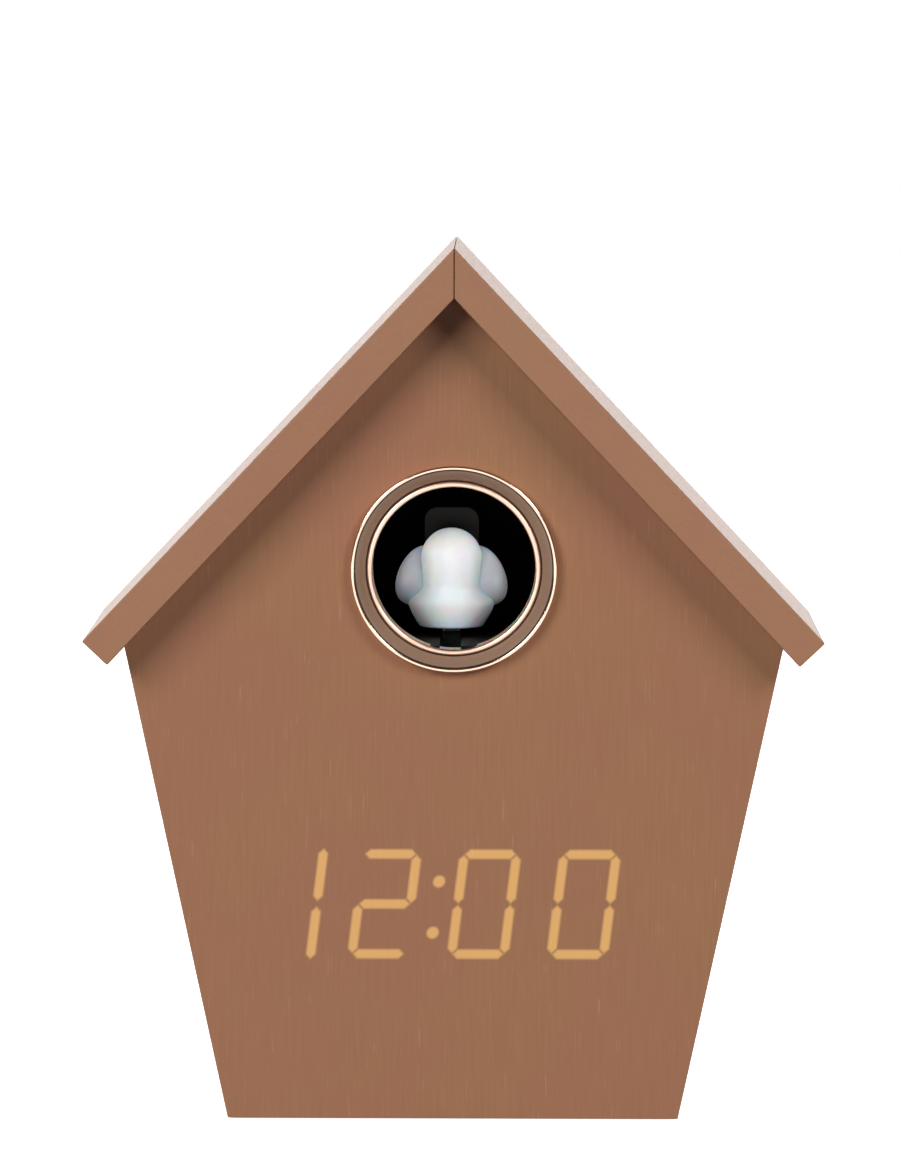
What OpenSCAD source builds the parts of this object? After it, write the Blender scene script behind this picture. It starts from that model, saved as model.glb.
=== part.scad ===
// House-shaped shelf clock: a leaning-walled wooden case under a mitred gable roof, a
// time display that glows through the front veneer, and a small bird that slides out of
// a ringed opening on a rack driven by a geared motor.
// The front faces -Y, the ridge runs along Y, and the origin is under the feet's centre.

/* [Case] */
// Height from the underside of the case to the ridge
case_h = 200; // [170:1:260]
// Width of the case at its underside
base_w = 103.2; // [92:0.2:130]
// Outward lean of the side walls from vertical, in degrees
wall_lean = 12.3; // [8:0.1:15]
// Slope of the roof from horizontal, in degrees
roof_pitch = 46.7; // [42:0.1:50]
// Distance from the ridge to each eave, measured level
roof_half = 84.3; // [80:0.1:100]
// Depth of the roof boards, front to back
roof_d = 90; // [84:1:120]
// Roof board thickness
roof_t = 7.9; // [6:0.1:12]
// How far the roof stands in front of the front panel
roof_front = 12; // [4:0.5:12]
// Gap left by the mitre at the ridge
mitre_gap = 0.12; // [0.05:0.01:0.4]
// Side wall thickness
wall_t = 7; // [5:0.5:9]
// Base board thickness
base_t = 7; // [5:0.5:9]
// Front panel thickness
panel_t = 6; // [5:0.5:8]
// Front veneer thickness
veneer_t = 0.6; // [0.4:0.1:1.2]
// How far the back cover is set in from the rear edge
cover_inset = 3; // [2.5:0.5:5]
// Back cover thickness
cover_t = 2.5; // [2:0.5:3.5]
// Gap round the back cover
cover_gap = 0.4; // [0.2:0.1:0.8]
// Foot radius
foot_r = 5; // [3:0.5:7]
// Foot thickness
foot_t = 2; // [1.6:0.2:3]
// How far each foot stands out of the base board
foot_proud = 1; // [0.6:0.1:1.4]

/* [Opening ring] */
// Height of the opening's centre above the case's underside
ring_z = 126.5; // [120:0.5:140]
// Outer diameter of the ring
ring_od = 47; // [44:0.5:50]
// Clear bore of the ring
ring_bore = 37.2; // [34:0.2:38]
// How far the rim stands out of the panel
ring_proud = 3; // [2:0.5:5]
// Depth of the dish from the rim to the inner bead
ring_dish = 4.2; // [2:0.1:5]
// Wall of the part that enters the panel
spigot_t = 2.8; // [2.4:0.1:3]
// Gap between the ring's tube and the panel's hole
spigot_gap = 0.15; // [0.05:0.05:0.4]

/* [Bird and drive] */
// Sideways place of the bird and its slot
bird_x = -0.8; // [-2:0.1:2]
// Front-to-back place of the bird's centre
bird_y = 0; // [-1:0.5:1]
// Overall height of the bird
bird_h = 23; // [20:0.5:25]
// Head diameter
head_d = 14.2; // [12:0.2:15]
// Width across the wings
wing_span = 26.3; // [22:0.1:28]
// How far the bird slides out
bird_travel = 28; // [20:0.5:28]
// Height of the chamber's floor above the opening's lowest point
floor_rise = 0.8; // [0.6:0.1:2]
// Wall of the chamber
chamber_t = 1.5; // [1.2:0.1:2]
// Width of the slot in the floor
slot_w = 4.9; // [4.6:0.1:6]
// Clearance between the stem and its slot, each side
stem_gap = 0.3; // [0.15:0.05:0.5]
// Gear module
gear_m = 0.6; // [0.6:0.1:0.6]
// Teeth on the gear that drives the rack
rack_gear_n = 24; // [22:2:24]
// Teeth on the small gears
small_n = 12; // [12:2:14]
// Teeth on the large gear
large_n = 40; // [36:4:40]
// Radius of the axles and guide rods
rod_r = 1; // [0.8:0.1:1.2]
// Running clearance on the axles and rods
run_gap = 0.06; // [0.02:0.01:0.1]

/* [Display] */
// Height of the digits' centre above the case's underside
digit_z = 49.5; // [46:0.5:54]
// Distance between digit centres
digit_pitch = 22.8; // [21:0.1:24]
// Place of the first full digit
digit_x = -15.7; // [-17:0.1:-14]
// Height between the centre lines of the top and bottom segments
digit_h = 23; // [20:0.5:24]
// Width between the centre lines of a digit's upright segments
digit_w = 12; // [10:0.2:13]
// Width of one segment
seg_w = 2.1; // [1.6:0.1:2.6]
// Forward lean of the digits, in degrees
digit_lean = 7; // [0:0.5:10]

/* [Back] */
// Travel of each push button
button_travel = 0.6; // [0.3:0.1:0.7]
// Radius of each push button
button_r = 3; // [2.5:0.1:3.5]
// Distance between the push buttons
button_pitch = 10; // [9:0.5:11]
// Travel of the sliding switch
switch_travel = 3; // [2:0.5:4]
// Radius of the loudspeaker
speaker_r = 20; // [16:0.5:21]
// Radius of one backup cell
cell_r = 5.25; // [5.1:0.05:5.3]
// Length of one backup cell
cell_l = 44.5; // [43.5:0.5:45]
// Gap round the battery door
door_gap = 0.3; // [0.2:0.05:0.5]

/* [Hidden] */
$fn = 64;
e = 0.5;                               // how far a cut runs past the face it starts from

// Case outline, in X and Z
z0 = foot_proud;
lean_k = tan(wall_lean);
pitch_k = tan(roof_pitch);
ridge_z = z0 + case_h;
peak_z = ridge_z - roof_t / cos(roof_pitch);
wall_x = wall_t / cos(wall_lean);
function half(z, set = 0) = base_w / 2 + lean_k * (z - z0) - set;
function roof_under(x, set = 0) = peak_z - set - pitch_k * abs(x);
function join_z(set = 0, drop = 0) =
    (peak_z - drop - pitch_k * (base_w / 2 - set - lean_k * z0)) / (1 + pitch_k * lean_k);

// Planes along Y, from the front to the back
front_y = -roof_d / 2;
face_y = front_y + roof_front;
panel_y = face_y + veneer_t;
inner_y = panel_y + panel_t;
back_y = roof_d / 2;
cover_y1 = back_y - cover_inset;
cover_y0 = cover_y1 - cover_t;
floor_top = z0 + base_t;

// Opening and chamber
ring_cz = z0 + ring_z;
bore_r = ring_bore / 2;
spigot_r = bore_r + spigot_t;
floor_z = ring_cz - bore_r + floor_rise;
chamber_r = spigot_r + 0.9;
flange_r = chamber_r + 8;
flange_t = 2;
flange_top = ring_cz + chamber_r + chamber_t + 2;
chamber_back_t = 1.5;
chamber_y1 = cover_y0 - 1;             // rear face of the chamber's back wall
chamber_y = chamber_y1 - chamber_back_t;

// Gears: stub teeth on the wheels, pressure angle 20 degrees
pressure = 20;
tooth_thin = 0.07;                     // taken off each flank for backlash
stub = 0.75 * gear_m;
rack_gear_r = rack_gear_n * gear_m / 2;
small_r = small_n * gear_m / 2;
large_r = large_n * gear_m / 2;
tooth_pitch = PI * gear_m;

// Carriage under the floor: a rack rib between two guided wings
plate_t = 1.6;
stem_w = slot_w - 2 * stem_gap;
stem_l = 5;
carriage_gap = 0.3;
rib_w = 4.4;
rib_h = 5.4;
wing_h = 3.9;
rod_x = 6;
carriage_w = 16;
carriage_top = floor_z - chamber_t - carriage_gap;
rack_z = carriage_top - rib_h + 0.5;   // the rack's pitch line
rack_root = 0.75;
rack_tip = 0.5;
rod_z = carriage_top - wing_h / 2;
gear_y = bird_y + 6;
rack_end = 2.5;                        // rack left beyond the pinion at each end of travel
carriage_y0 = gear_y - rack_end;
carriage_l = bird_travel + 2 * rack_end;
rack_gear_z = rack_z - rack_gear_r;
compound_z = rack_gear_z - rack_gear_r - small_r;
motor_y = gear_y + large_r + small_r;

// Places of the drive's pieces across X
rack_gear_x0 = bird_x - 2;
rack_gear_x1 = bird_x + 6.5;
large_x0 = rack_gear_x1 + 1;
large_w = 2.5;
frame_x0 = bird_x - 11;
frame_x1 = bird_x + 13.5;
side_t = 1.5;
frame_y1 = chamber_y1;
frame_z0 = compound_z - 6;
frame_z1 = floor_z - chamber_t;
gearhead_l = 9;
motor_l = 15;
motor_w = 12;
motor_h = 10;
shaft_r = 1.5;

// Bird
base_gap = 1.9;                        // bird's underside above the floor
base_r = 6.85;
belly_r = 10;
belly_h = 5;
tab_h = 1.4;
foot_plate_t = 0.8;
post_w = 12.6;
post_t = 1.5;
post_y = bird_y + belly_r + 0.2;
post_z = floor_z + base_gap + bird_h + 4;
bird_z = floor_z + base_gap;
tab_z = bird_z - tab_h;
wing_r = 7.2;

// Display
digit_k = tan(digit_lean);
digit_cz = z0 + digit_z;
window_x0 = digit_x - digit_pitch + 4;
window_x1 = digit_x + 2 * digit_pitch + digit_w / 2 + 2.6;
window_h = digit_h + 8;
window_gap = 0.2;
lip = 4;
lip_t = 2;
board_t = 1.6;
display_board_y = inner_y + lip_t;
one_x = digit_x - 15.45;
colon_x = digit_x + 11.85;
colon_dz = 5.9;
colon_r = 1.35;
light_gap = 0.05;
light_y1 = display_board_y - 1;

// Main board and controls, on the back cover's inner side
board_gap = 6.4;                       // from the cover to the board
board_y1 = cover_y0 - board_gap;
board_y0 = board_y1 - board_t;
board_x0 = -52;
board_x1 = frame_x0 - 2.2;
board_z0 = z0 + 62;
board_z1 = z0 + 103;
button_z = z0 + 93;
button_x0 = board_x0 + 9;
switch_z = z0 + 80;
switch_x = board_x0 + 18;
inlet_x = board_x0 + 11;
inlet_z = z0 + 70.5;
button_gap = 0.2;
tact_h = 3.5;
post_inset = 3;

// Loudspeaker, battery bay and blocks
speaker_x = 26;
speaker_rim = 3;                       // width of the loudspeaker's flat rim
bay_z0 = floor_top + 14;
speaker_z = bay_z0 + speaker_r;
bay_wall = 1.2;
cell_pitch = 2 * cell_r + 0.9;
cell_n = 3;
contact_t = 0.4;
spring_l = 2.4;
bay_l = cell_l + spring_l + 2 * contact_t + 0.3;
bay_h = cell_n * cell_pitch + 0.6;
bay_x1 = speaker_x - speaker_r - 3;
bay_x0 = bay_x1 - bay_l;
cell_y = cover_y0 - cell_r - 1.6;
bay_y0 = cell_y - cell_r - 0.4 - bay_wall;
hinge_y = (cover_y0 + cover_y1) / 2;
hinge_r = cover_t / 2;
hinge_z = bay_z0 + door_gap + hinge_r;
hinge_pin_r = 0.7;
hinge_pin_l = 1.2;
block_d = 14;
block_w = 12;
screw_r = 1.4;
small_screw_r = 1;
block_in = wall_x + block_w / 2 + 0.5;

// ---- shared shapes ----

// Extrudes an outline drawn in X and Z from y0 back to y1
module slab(y0, y1) {
    translate([0, y1, 0]) rotate([90, 0, 0]) linear_extrude(y1 - y0) children();
}

// Extrudes an outline drawn in Y and Z from x0 to x1
module bar_x(x0, x1) {
    translate([x0, 0, 0]) rotate([90, 0, 90]) linear_extrude(x1 - x0) children();
}

module rod_y(x, z, r, y0, y1) slab(y0, y1) translate([x, z]) circle(r);

module rod_across(y, z, r, x0, x1) bar_x(x0, x1) translate([y, z]) circle(r);

module block(x0, x1, y0, y1, z0, z1) {
    translate([x0, y0, z0]) cube([x1 - x0, y1 - y0, z1 - z0]);
}

module both_sides() {
    children();
    mirror([1, 0, 0]) children();
}

// The five-sided house outline inside the roof, set in from walls, roof and underside
module house(side = 0, roof = 0, bottom = 0) {
    zb = z0 + bottom;
    zj = join_z(side, roof);
    polygon([[-half(zb, side), zb], [half(zb, side), zb], [half(zj, side), zj],
        [0, peak_z - roof], [-half(zj, side), zj]]);
}

// Involute tooth: half the tooth's angle at radius r, in degrees
function roll_angle(r, rb) = tan(acos(rb / r)) * 180 / PI - acos(rb / r);
function tooth_half(n, r) = let (rp = n * gear_m / 2, rb = rp * cos(pressure))
    90 / n - tooth_thin / rp * 180 / PI + roll_angle(rp, rb)
    - roll_angle(max(r, rb * 1.0001), rb);
function gear_points(n, phase) = let (
        rp = n * gear_m / 2,
        rb = rp * cos(pressure),
        root = rp - stub - 0.12,
        low = max(rb, root + 0.02),
        tip = rp + stub,
        radii = [root, low, low + (tip - low) / 3, low + 2 * (tip - low) / 3, tip],
        last = len(radii) - 1)
    [for (i = [0 : n - 1]) for (j = [0 : 2 * last + 1])
        let (r = radii[j <= last ? j : 2 * last + 1 - j],
             a = phase + 360 * i / n + (j <= last ? -1 : 1) * tooth_half(n, r))
        [r * cos(a), r * sin(a)]];

module gear(n, phase, y, z, x0, x1) {
    bar_x(x0, x1) translate([y, z]) polygon(gear_points(n, phase));
}

// Screw along -Y: the head's underside is at y, the shank goes forward
module screw_y(x, z, y, r, l) {
    rod_y(x, z, r, y - l, y);
    rod_y(x, z, 2 * r, y, y + 1.1 * r);
}

// Tube swept along a list of points, n sides
function unit(v) = v / norm(v);
function way(p, i) = unit(p[min(i + 1, len(p) - 1)] - p[max(i - 1, 0)]);
function side(d) = unit(cross(d, abs(d.z) < 0.9 ? [0, 0, 1] : [0, 1, 0]));
module tube(p, r, n = 8) {
    pts = [for (i = [0 : len(p) - 1]) let (d = way(p, i), u = side(d), v = cross(d, u))
        for (k = [0 : n - 1]) p[i] + r * (cos(360 * k / n) * u + sin(360 * k / n) * v)];
    skin = [for (i = [0 : len(p) - 2]) for (k = [0 : n - 1])
        let (a = i * n + k, b = i * n + (k + 1) % n) [b, a, a + n, b + n]];
    polyhedron(points = pts, faces = concat([[for (k = [0 : n - 1]) k]], skin,
        [[for (k = [n - 1 : -1 : 0]) (len(p) - 1) * n + k]]), convexity = 4);
}

// Smooth run of points through a few chosen ones
function bend(a, b, c, d, t) = 0.5 * ((2 * b) + (c - a) * t
    + (2 * a - 5 * b + 4 * c - d) * t * t + (3 * b - a - 3 * c + d) * t * t * t);
function smooth(p, n = 4) = concat([for (i = [0 : len(p) - 2]) for (k = [0 : n - 1])
    bend(p[max(i - 1, 0)], p[i], p[i + 1], p[min(i + 2, len(p) - 1)], k / n)],
    [p[len(p) - 1]]);

// ---- case ----

ring_hole_r = spigot_r + spigot_gap;
pilot_l = 4;                           // depth of a small screw in the front panel
frame_ear = 7;                         // ears on each side of the drive frame
flange_holes = [for (sx = [-1, 1]) for (sz = [-0.5, 0.5])
    [sx * (flange_r - frame_ear / 2), ring_cz + sz * flange_r]];
frame_holes = [for (x = [frame_x0 - frame_ear / 2, frame_x1 + frame_ear / 2])
    for (z = [frame_z0 + 4, frame_z1 - 9]) [x, z]];
display_holes = [for (x = [window_x0 - lip / 2, window_x1 + lip / 2]) for (s = [-1, 1])
    [x, digit_cz + s * (window_h / 2 + lip / 2)]];

module front_panel() {
    color("peru") difference() {
        slab(panel_y, inner_y) house();
        rod_y(0, ring_cz, ring_hole_r, panel_y - e, inner_y + e);
        block(window_x0, window_x1, panel_y - e, inner_y + e,
            digit_cz - window_h / 2, digit_cz + window_h / 2);
        for (p = concat(flange_holes, frame_holes, display_holes))
            rod_y(p.x, p.y, small_screw_r, inner_y - pilot_l, inner_y + e);
    }
}

module front_veneer() {
    color("sandybrown") difference() {
        slab(face_y, panel_y) house();
        rod_y(0, ring_cz, ring_hole_r, face_y - e, panel_y + e);
    }
}

module wall() {
    zj = join_z();
    zi = join_z(wall_x);
    slab(inner_y, back_y) polygon([[half(z0), z0], [half(zj), zj], [half(zi, wall_x), zi],
        [half(z0, wall_x), z0]]);
}
module right_wall() color("peru") wall();
module left_wall() color("peru") mirror([1, 0, 0]) wall();

foot_in = 14;
function feet_places() = [for (sx = [-1, 1]) for (y = [inner_y + foot_in, back_y - foot_in])
    [sx * (base_w / 2 - foot_in), y]];

module base_board() {
    color("peru") difference() {
        slab(inner_y, back_y) polygon([[-half(z0, wall_x), z0], [half(z0, wall_x), z0],
            [half(floor_top, wall_x), floor_top], [-half(floor_top, wall_x), floor_top]]);
        for (p = feet_places())
            translate([p.x, p.y, z0 - e]) cylinder(r = foot_r, h = foot_t - foot_proud + e);
    }
}

module feet() {
    color("dimgray") for (p = feet_places())
        translate([p.x, p.y, 0]) cylinder(r = foot_r, h = foot_t);
}

module roof_board() {
    g = mitre_gap / 2;
    zo = ridge_z - pitch_k * roof_half;
    slab(front_y, back_y) polygon([[g, ridge_z - g * pitch_k], [roof_half, zo],
        [roof_half - roof_t * sin(roof_pitch), zo - roof_t * cos(roof_pitch)],
        [g, peak_z - g * pitch_k]]);
}
module roof_right() color("sandybrown") roof_board();
module roof_left() color("sandybrown") mirror([1, 0, 0]) roof_board();

block_screw_l = 8;                     // depth of a cover screw in its block
ridge_block_w = 12;
ridge_block_h = 6;
ridge_screw_z = roof_under(ridge_block_w) - ridge_block_h / 2;
module ridge_block() {
    zb = roof_under(ridge_block_w);
    color("burlywood") difference() {
        slab(inner_y, cover_y0) polygon([[0, peak_z], [ridge_block_w, zb],
            [ridge_block_w, zb - ridge_block_h], [-ridge_block_w, zb - ridge_block_h],
            [-ridge_block_w, zb]]);
        rod_y(0, ridge_screw_z, screw_r, cover_y0 - block_screw_l, cover_y0 + e);
    }
}

// Cover screw places: two low, two high and one under the ridge
low_screw = [half(floor_top + block_w / 2, block_in), floor_top + block_w / 2];
high_z = join_z(wall_x) - block_w;
high_screw = [half(high_z, block_in), high_z];
cover_holes = [low_screw, [-low_screw.x, low_screw.y], high_screw,
    [-high_screw.x, high_screw.y], [0, ridge_screw_z]];

module corner_blocks() {
    zt = floor_top + block_w;
    zj = join_z(wall_x);
    zh = high_z - block_w / 2;
    xh = half(zh, wall_x) - block_w;
    color("burlywood") both_sides() {
        difference() {
            slab(cover_y0 - block_d, cover_y0) polygon([
                [half(floor_top, wall_x), floor_top], [half(zt, wall_x), zt],
                [half(floor_top, wall_x) - block_w, zt],
                [half(floor_top, wall_x) - block_w, floor_top]]);
            rod_y(low_screw.x, low_screw.y, screw_r, cover_y0 - block_screw_l, cover_y0 + e);
        }
        difference() {
            slab(cover_y0 - block_d, cover_y0) polygon([[half(zj, wall_x), zj],
                [half(zh, wall_x), zh], [xh, zh], [xh, roof_under(xh)]]);
            rod_y(high_screw.x, high_screw.y, screw_r, cover_y0 - block_screw_l, cover_y0 + e);
        }
    }
}

module cover_screws() {
    color("silver") for (p = cover_holes)
        screw_y(p.x, p.y, cover_y1, screw_r, cover_t + block_screw_l);
}

board_holes = [for (x = [board_x0 + post_inset, board_x1 - post_inset])
    for (z = [board_z0 + post_inset, board_z1 - post_inset]) [x, z]];
door_z1 = bay_z0 + bay_h;
knob_w = 3;
knob_gap = 0.3;
cover_post_r = 2.5;
grille_pitch = 4.6;
grille_slot = 2.2;
grille_rows = floor((speaker_r - speaker_rim - grille_slot / 2) / grille_pitch);

module back_cover() {
    set = wall_x + cover_gap;
    color("black") difference() {
        union() {
            slab(cover_y0, cover_y1) house(set, cover_gap / cos(roof_pitch),
                base_t + cover_gap);
            for (p = board_holes) rod_y(p.x, p.y, cover_post_r, board_y1, cover_y0);
        }
        for (p = cover_holes) rod_y(p.x, p.y, screw_r, cover_y0 - e, cover_y1 + e);
        for (p = board_holes) rod_y(p.x, p.y, small_screw_r, board_y1 - e, cover_y0);
        block(bay_x0, bay_x1, cover_y0 - e, cover_y1 + e, bay_z0, door_z1);
        rod_across(hinge_y, hinge_z, hinge_pin_r + run_gap, bay_x0 - hinge_pin_l,
            bay_x1 + hinge_pin_l);
        for (i = [0 : 2]) rod_y(button_x0 + i * button_pitch, button_z,
            button_r + button_gap, cover_y0 - e, cover_y1 + e);
        block(switch_x - knob_w / 2 - knob_gap, switch_x + knob_w / 2 + switch_travel
            + knob_gap, cover_y0 - e, cover_y1 + e, switch_z - knob_w / 2 - knob_gap,
            switch_z + knob_w / 2 + knob_gap);
        rod_y(inlet_x, inlet_z, inlet_r + inlet_gap, cover_y0 - e, cover_y1 + e);
        for (i = [-grille_rows : grille_rows])
            let (z = grille_pitch * i, w = sqrt(pow(speaker_r - speaker_rim, 2) - z * z))
            block(speaker_x - w, speaker_x + w, cover_y0 - e, cover_y1 + e,
                speaker_z + z - grille_slot / 2, speaker_z + z + grille_slot / 2);
    }
}

// ---- opening ring ----

// Profile in radius and depth; depth 0 is the veneer's face and grows backwards
module bezel_ring() {
    rim = ring_od / 2;
    bead_w = 1.3;
    lip_r = bore_r + bead_w;
    deep = ring_dish - ring_proud;
    color("rosybrown") translate([0, face_y, ring_cz]) rotate([-90, 0, 0])
        rotate_extrude($fn = 128) polygon([[spigot_r, 0], [rim, 0], [rim, -ring_proud + 0.3],
            [rim - 0.15, -ring_proud + 0.05], [rim - 0.35, -ring_proud],
            [rim - 0.6, -ring_proud + 0.15], [rim - 0.65, -ring_proud + 0.5],
            [lip_r + 0.1, deep - 0.3], [lip_r, deep - 0.8], [lip_r - 0.4, deep - 1.15],
            [bore_r + 0.35, deep - 1.05], [bore_r, deep - 0.6],
            [bore_r, inner_y - face_y], [spigot_r, inner_y - face_y]]);
}

// ---- bird chamber and drive ----

module arch(r, z) {
    intersection() {
        union() {
            translate([0, ring_cz]) circle(r, $fn = 96);
            translate([-r, z]) square([2 * r, ring_cz - z]);
        }
        translate([-r, z]) square([2 * r, 4 * r]);
    }
}

module bird_chamber() {
    outer = chamber_r + chamber_t;
    slot_end = post_y + post_t + 0.5;
    color("#141414") difference() {
        union() {
            slab(inner_y, chamber_y) arch(outer, frame_z1);
            slab(inner_y, inner_y + flange_t) translate([-flange_r, frame_z1])
                square([2 * flange_r, flange_top - frame_z1]);
            intersection() {
                rod_y(0, ring_cz, bore_r, face_y + 1.2, inner_y);
                block(-bore_r, bore_r, face_y, inner_y, floor_z - 2, floor_z);
            }
        }
        slab(inner_y - e, chamber_y + e) arch(chamber_r, floor_z);
        block(bird_x - slot_w / 2, bird_x + slot_w / 2, face_y, slot_end,
            floor_z - 3, floor_z + e);
        for (p = flange_holes) rod_y(p.x, p.y, small_screw_r, inner_y - e,
            inner_y + flange_t + e);
    }
}

module chamber_back() {
    color("#101010") slab(chamber_y, chamber_y1) arch(chamber_r + chamber_t, frame_z1 + 0.5);
}

module module_screws() {
    color("silver") {
        for (p = flange_holes) screw_y(p.x, p.y, inner_y + flange_t, small_screw_r,
            flange_t + pilot_l);
        for (p = frame_holes) screw_y(p.x, p.y, inner_y + plate_t, small_screw_r,
            plate_t + pilot_l);
    }
}

module drive_frame() {
    color("dimgray") difference() {
        union() {
            for (x = [frame_x0, frame_x1 - side_t])
                block(x, x + side_t, inner_y, frame_y1, frame_z0, frame_z1);
            block(frame_x0 - frame_ear, frame_x1 + frame_ear, inner_y, inner_y + plate_t,
                frame_z0, frame_z1);
            block(frame_x0, frame_x1, frame_y1 - side_t, frame_y1, frame_z0, frame_z1);
        }
        for (s = [-1, 1]) rod_y(bird_x + s * rod_x, rod_z, rod_r, inner_y - e, frame_y1 + e);
        rod_across(gear_y, rack_gear_z, rod_r, frame_x0 - e, frame_x0 + side_t + e);
        rod_across(gear_y, compound_z, rod_r, frame_x0 - e, frame_x1 + e);
        rod_across(motor_y, compound_z, shaft_r + 0.2, frame_x1 - side_t - e, frame_x1 + e);
        for (p = frame_holes) rod_y(p.x, p.y, small_screw_r, inner_y - e,
            inner_y + plate_t + e);
    }
}

module guide_rods() {
    color("silver") for (s = [-1, 1])
        rod_y(bird_x + s * rod_x, rod_z, rod_r, inner_y, frame_y1);
}

// The rack gear's axle stands out of one plate only, to pass clear of the large gear
module gear_axles() {
    color("silver") {
        rod_across(gear_y, rack_gear_z, rod_r, frame_x0, rack_gear_x1 + 0.4);
        rod_across(gear_y, compound_z, rod_r, frame_x0, frame_x1);
    }
}

// One gap between two rack teeth, drawn in Y and Z round the pitch line
module rack_gap(y) {
    w = tooth_pitch / 4 + tooth_thin;
    k = tan(pressure);
    translate([y, rack_z]) polygon([[-w - k * (rack_tip + e), -rack_tip - e],
        [w + k * (rack_tip + e), -rack_tip - e], [w - k * rack_root, rack_root],
        [-w + k * rack_root, rack_root]]);
}

module carriage() {
    gaps = ceil(carriage_l / tooth_pitch) + 1;
    top = carriage_top;
    y1 = carriage_y0 + carriage_l;
    color("gainsboro") difference() {
        union() {
            block(bird_x - rib_w / 2, bird_x + rib_w / 2, carriage_y0, y1, top - rib_h, top);
            block(bird_x - carriage_w / 2, bird_x + carriage_w / 2, carriage_y0, y1,
                top - wing_h, top);
            block(bird_x - stem_w / 2, bird_x + stem_w / 2, carriage_y0,
                carriage_y0 + stem_l, top - 1, tab_z - foot_plate_t);
        }
        for (s = [-1, 1]) rod_y(bird_x + s * rod_x, rod_z, rod_r + run_gap,
            carriage_y0 - e, y1 + e);
        bar_x(bird_x - rib_w / 2 - 0.01, bird_x + rib_w / 2 + 0.01)
            for (i = [-3 : gaps]) rack_gap(gear_y + i * tooth_pitch);
    }
}

module bird_post() {
    r = 3;
    color("#1c1c1c") {
        block(bird_x - stem_w / 2, bird_x + stem_w / 2, carriage_y0, post_y + post_t,
            tab_z - foot_plate_t, tab_z);
        slab(post_y, post_y + post_t) translate([bird_x, 0]) union() {
            translate([-post_w / 2, tab_z]) square([post_w, post_z - tab_z - r]);
            translate([-post_w / 2 + r, tab_z]) square([post_w - 2 * r, post_z - tab_z]);
            for (s = [-1, 1]) translate([s * (post_w / 2 - r), post_z - r]) circle(r);
        }
    }
}

// Radius of the bird's body at height h above its underside
head_c = bird_h - head_d / 2;
function body_r(h) = h <= belly_h ? base_r + (belly_r - base_r) * sin(90 * h / belly_h)
    : h <= head_c ? head_d / 2 + (belly_r - head_d / 2)
        * (1 + cos(180 * (h - belly_h) / (head_c - belly_h))) / 2
    : sqrt(max(0, pow(head_d / 2, 2) - pow(h - head_c, 2)));
function body_steps() = concat([for (i = [0 : 5]) i * belly_h / 5],
    [for (i = [1 : 8]) belly_h + i * (head_c - belly_h) / 8],
    [for (i = [1 : 8]) head_c + head_d / 2 * sin(90 * i / 8)]);

module bird_solid() {
    translate([bird_x, bird_y, bird_z]) rotate_extrude()
        polygon(concat([[0, 0]], [for (h = body_steps()) [body_r(h), h]]));
}

module bird_body() {
    color("white") {
        bird_solid();
        block(bird_x - stem_w / 2 + 0.1, bird_x + stem_w / 2 - 0.1, carriage_y0,
            carriage_y0 + 3, tab_z, bird_z + e);
    }
}

module bird_wings() {
    color("whitesmoke") difference() {
        for (s = [-1, 1]) translate([bird_x + s * (wing_span / 2 - wing_r), bird_y + 2,
            bird_z + belly_h + 6.5]) sphere(wing_r);
        bird_solid();
        block(-50, 50, post_y - 0.2, post_y + 20, bird_z, bird_z + 50);
    }
}

module rack_gear() {
    color("ivory") difference() {
        gear(rack_gear_n, 90, gear_y, rack_gear_z, rack_gear_x0, rack_gear_x1);
        rod_across(gear_y, rack_gear_z, rod_r + run_gap, rack_gear_x0 - e, rack_gear_x1 + e);
    }
}

module compound_gear() {
    small_x0 = bird_x + rib_w / 2 + 0.6;
    color("ivory") difference() {
        union() {
            gear(small_n, 90 + 180 / small_n, gear_y, compound_z, small_x0, large_x0);
            gear(large_n, 0, gear_y, compound_z, large_x0, large_x0 + large_w);
        }
        rod_across(gear_y, compound_z, rod_r + run_gap, small_x0 - e, large_x0 + large_w + e);
    }
}

module motor_pinion() {
    color("goldenrod") difference() {
        gear(small_n, 180 + 180 / small_n, motor_y, compound_z, large_x0 - 0.3,
            large_x0 + large_w + 0.3);
        rod_across(motor_y, compound_z, shaft_r, large_x0 - 1, large_x0 + large_w + 1);
    }
}

module motor_shaft() {
    color("silver") rod_across(motor_y, compound_z, shaft_r, large_x0 - 0.3, frame_x1 + 4);
}

module gearhead() {
    color("goldenrod") difference() {
        block(frame_x1, frame_x1 + gearhead_l, motor_y - motor_w / 2, motor_y + motor_w / 2,
            compound_z - motor_h / 2, compound_z + motor_h / 2);
        rod_across(motor_y, compound_z, shaft_r + run_gap, frame_x1 - e, frame_x1 + 5);
    }
}

module motor() {
    x0 = frame_x1 + gearhead_l;
    color("silver") intersection() {
        block(x0, x0 + motor_l, motor_y - motor_w, motor_y + motor_w,
            compound_z - motor_h / 2, compound_z + motor_h / 2);
        rod_across(motor_y, compound_z, motor_w / 2, x0, x0 + motor_l);
    }
}

module home_switch() {
    y = frame_y1 - side_t;
    x = bird_x - 8;
    top = rack_z - rack_tip - 1.5;
    body = [4.8, 6, 5];
    lever = [1.2, 2, 0.8];
    color("black") {
        translate([x, y - body.y, top - body.z]) cube(body);
        translate([x + 1.8, y - 3 - lever.y, top]) cube(lever);
    }
}

// ---- display ----

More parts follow.
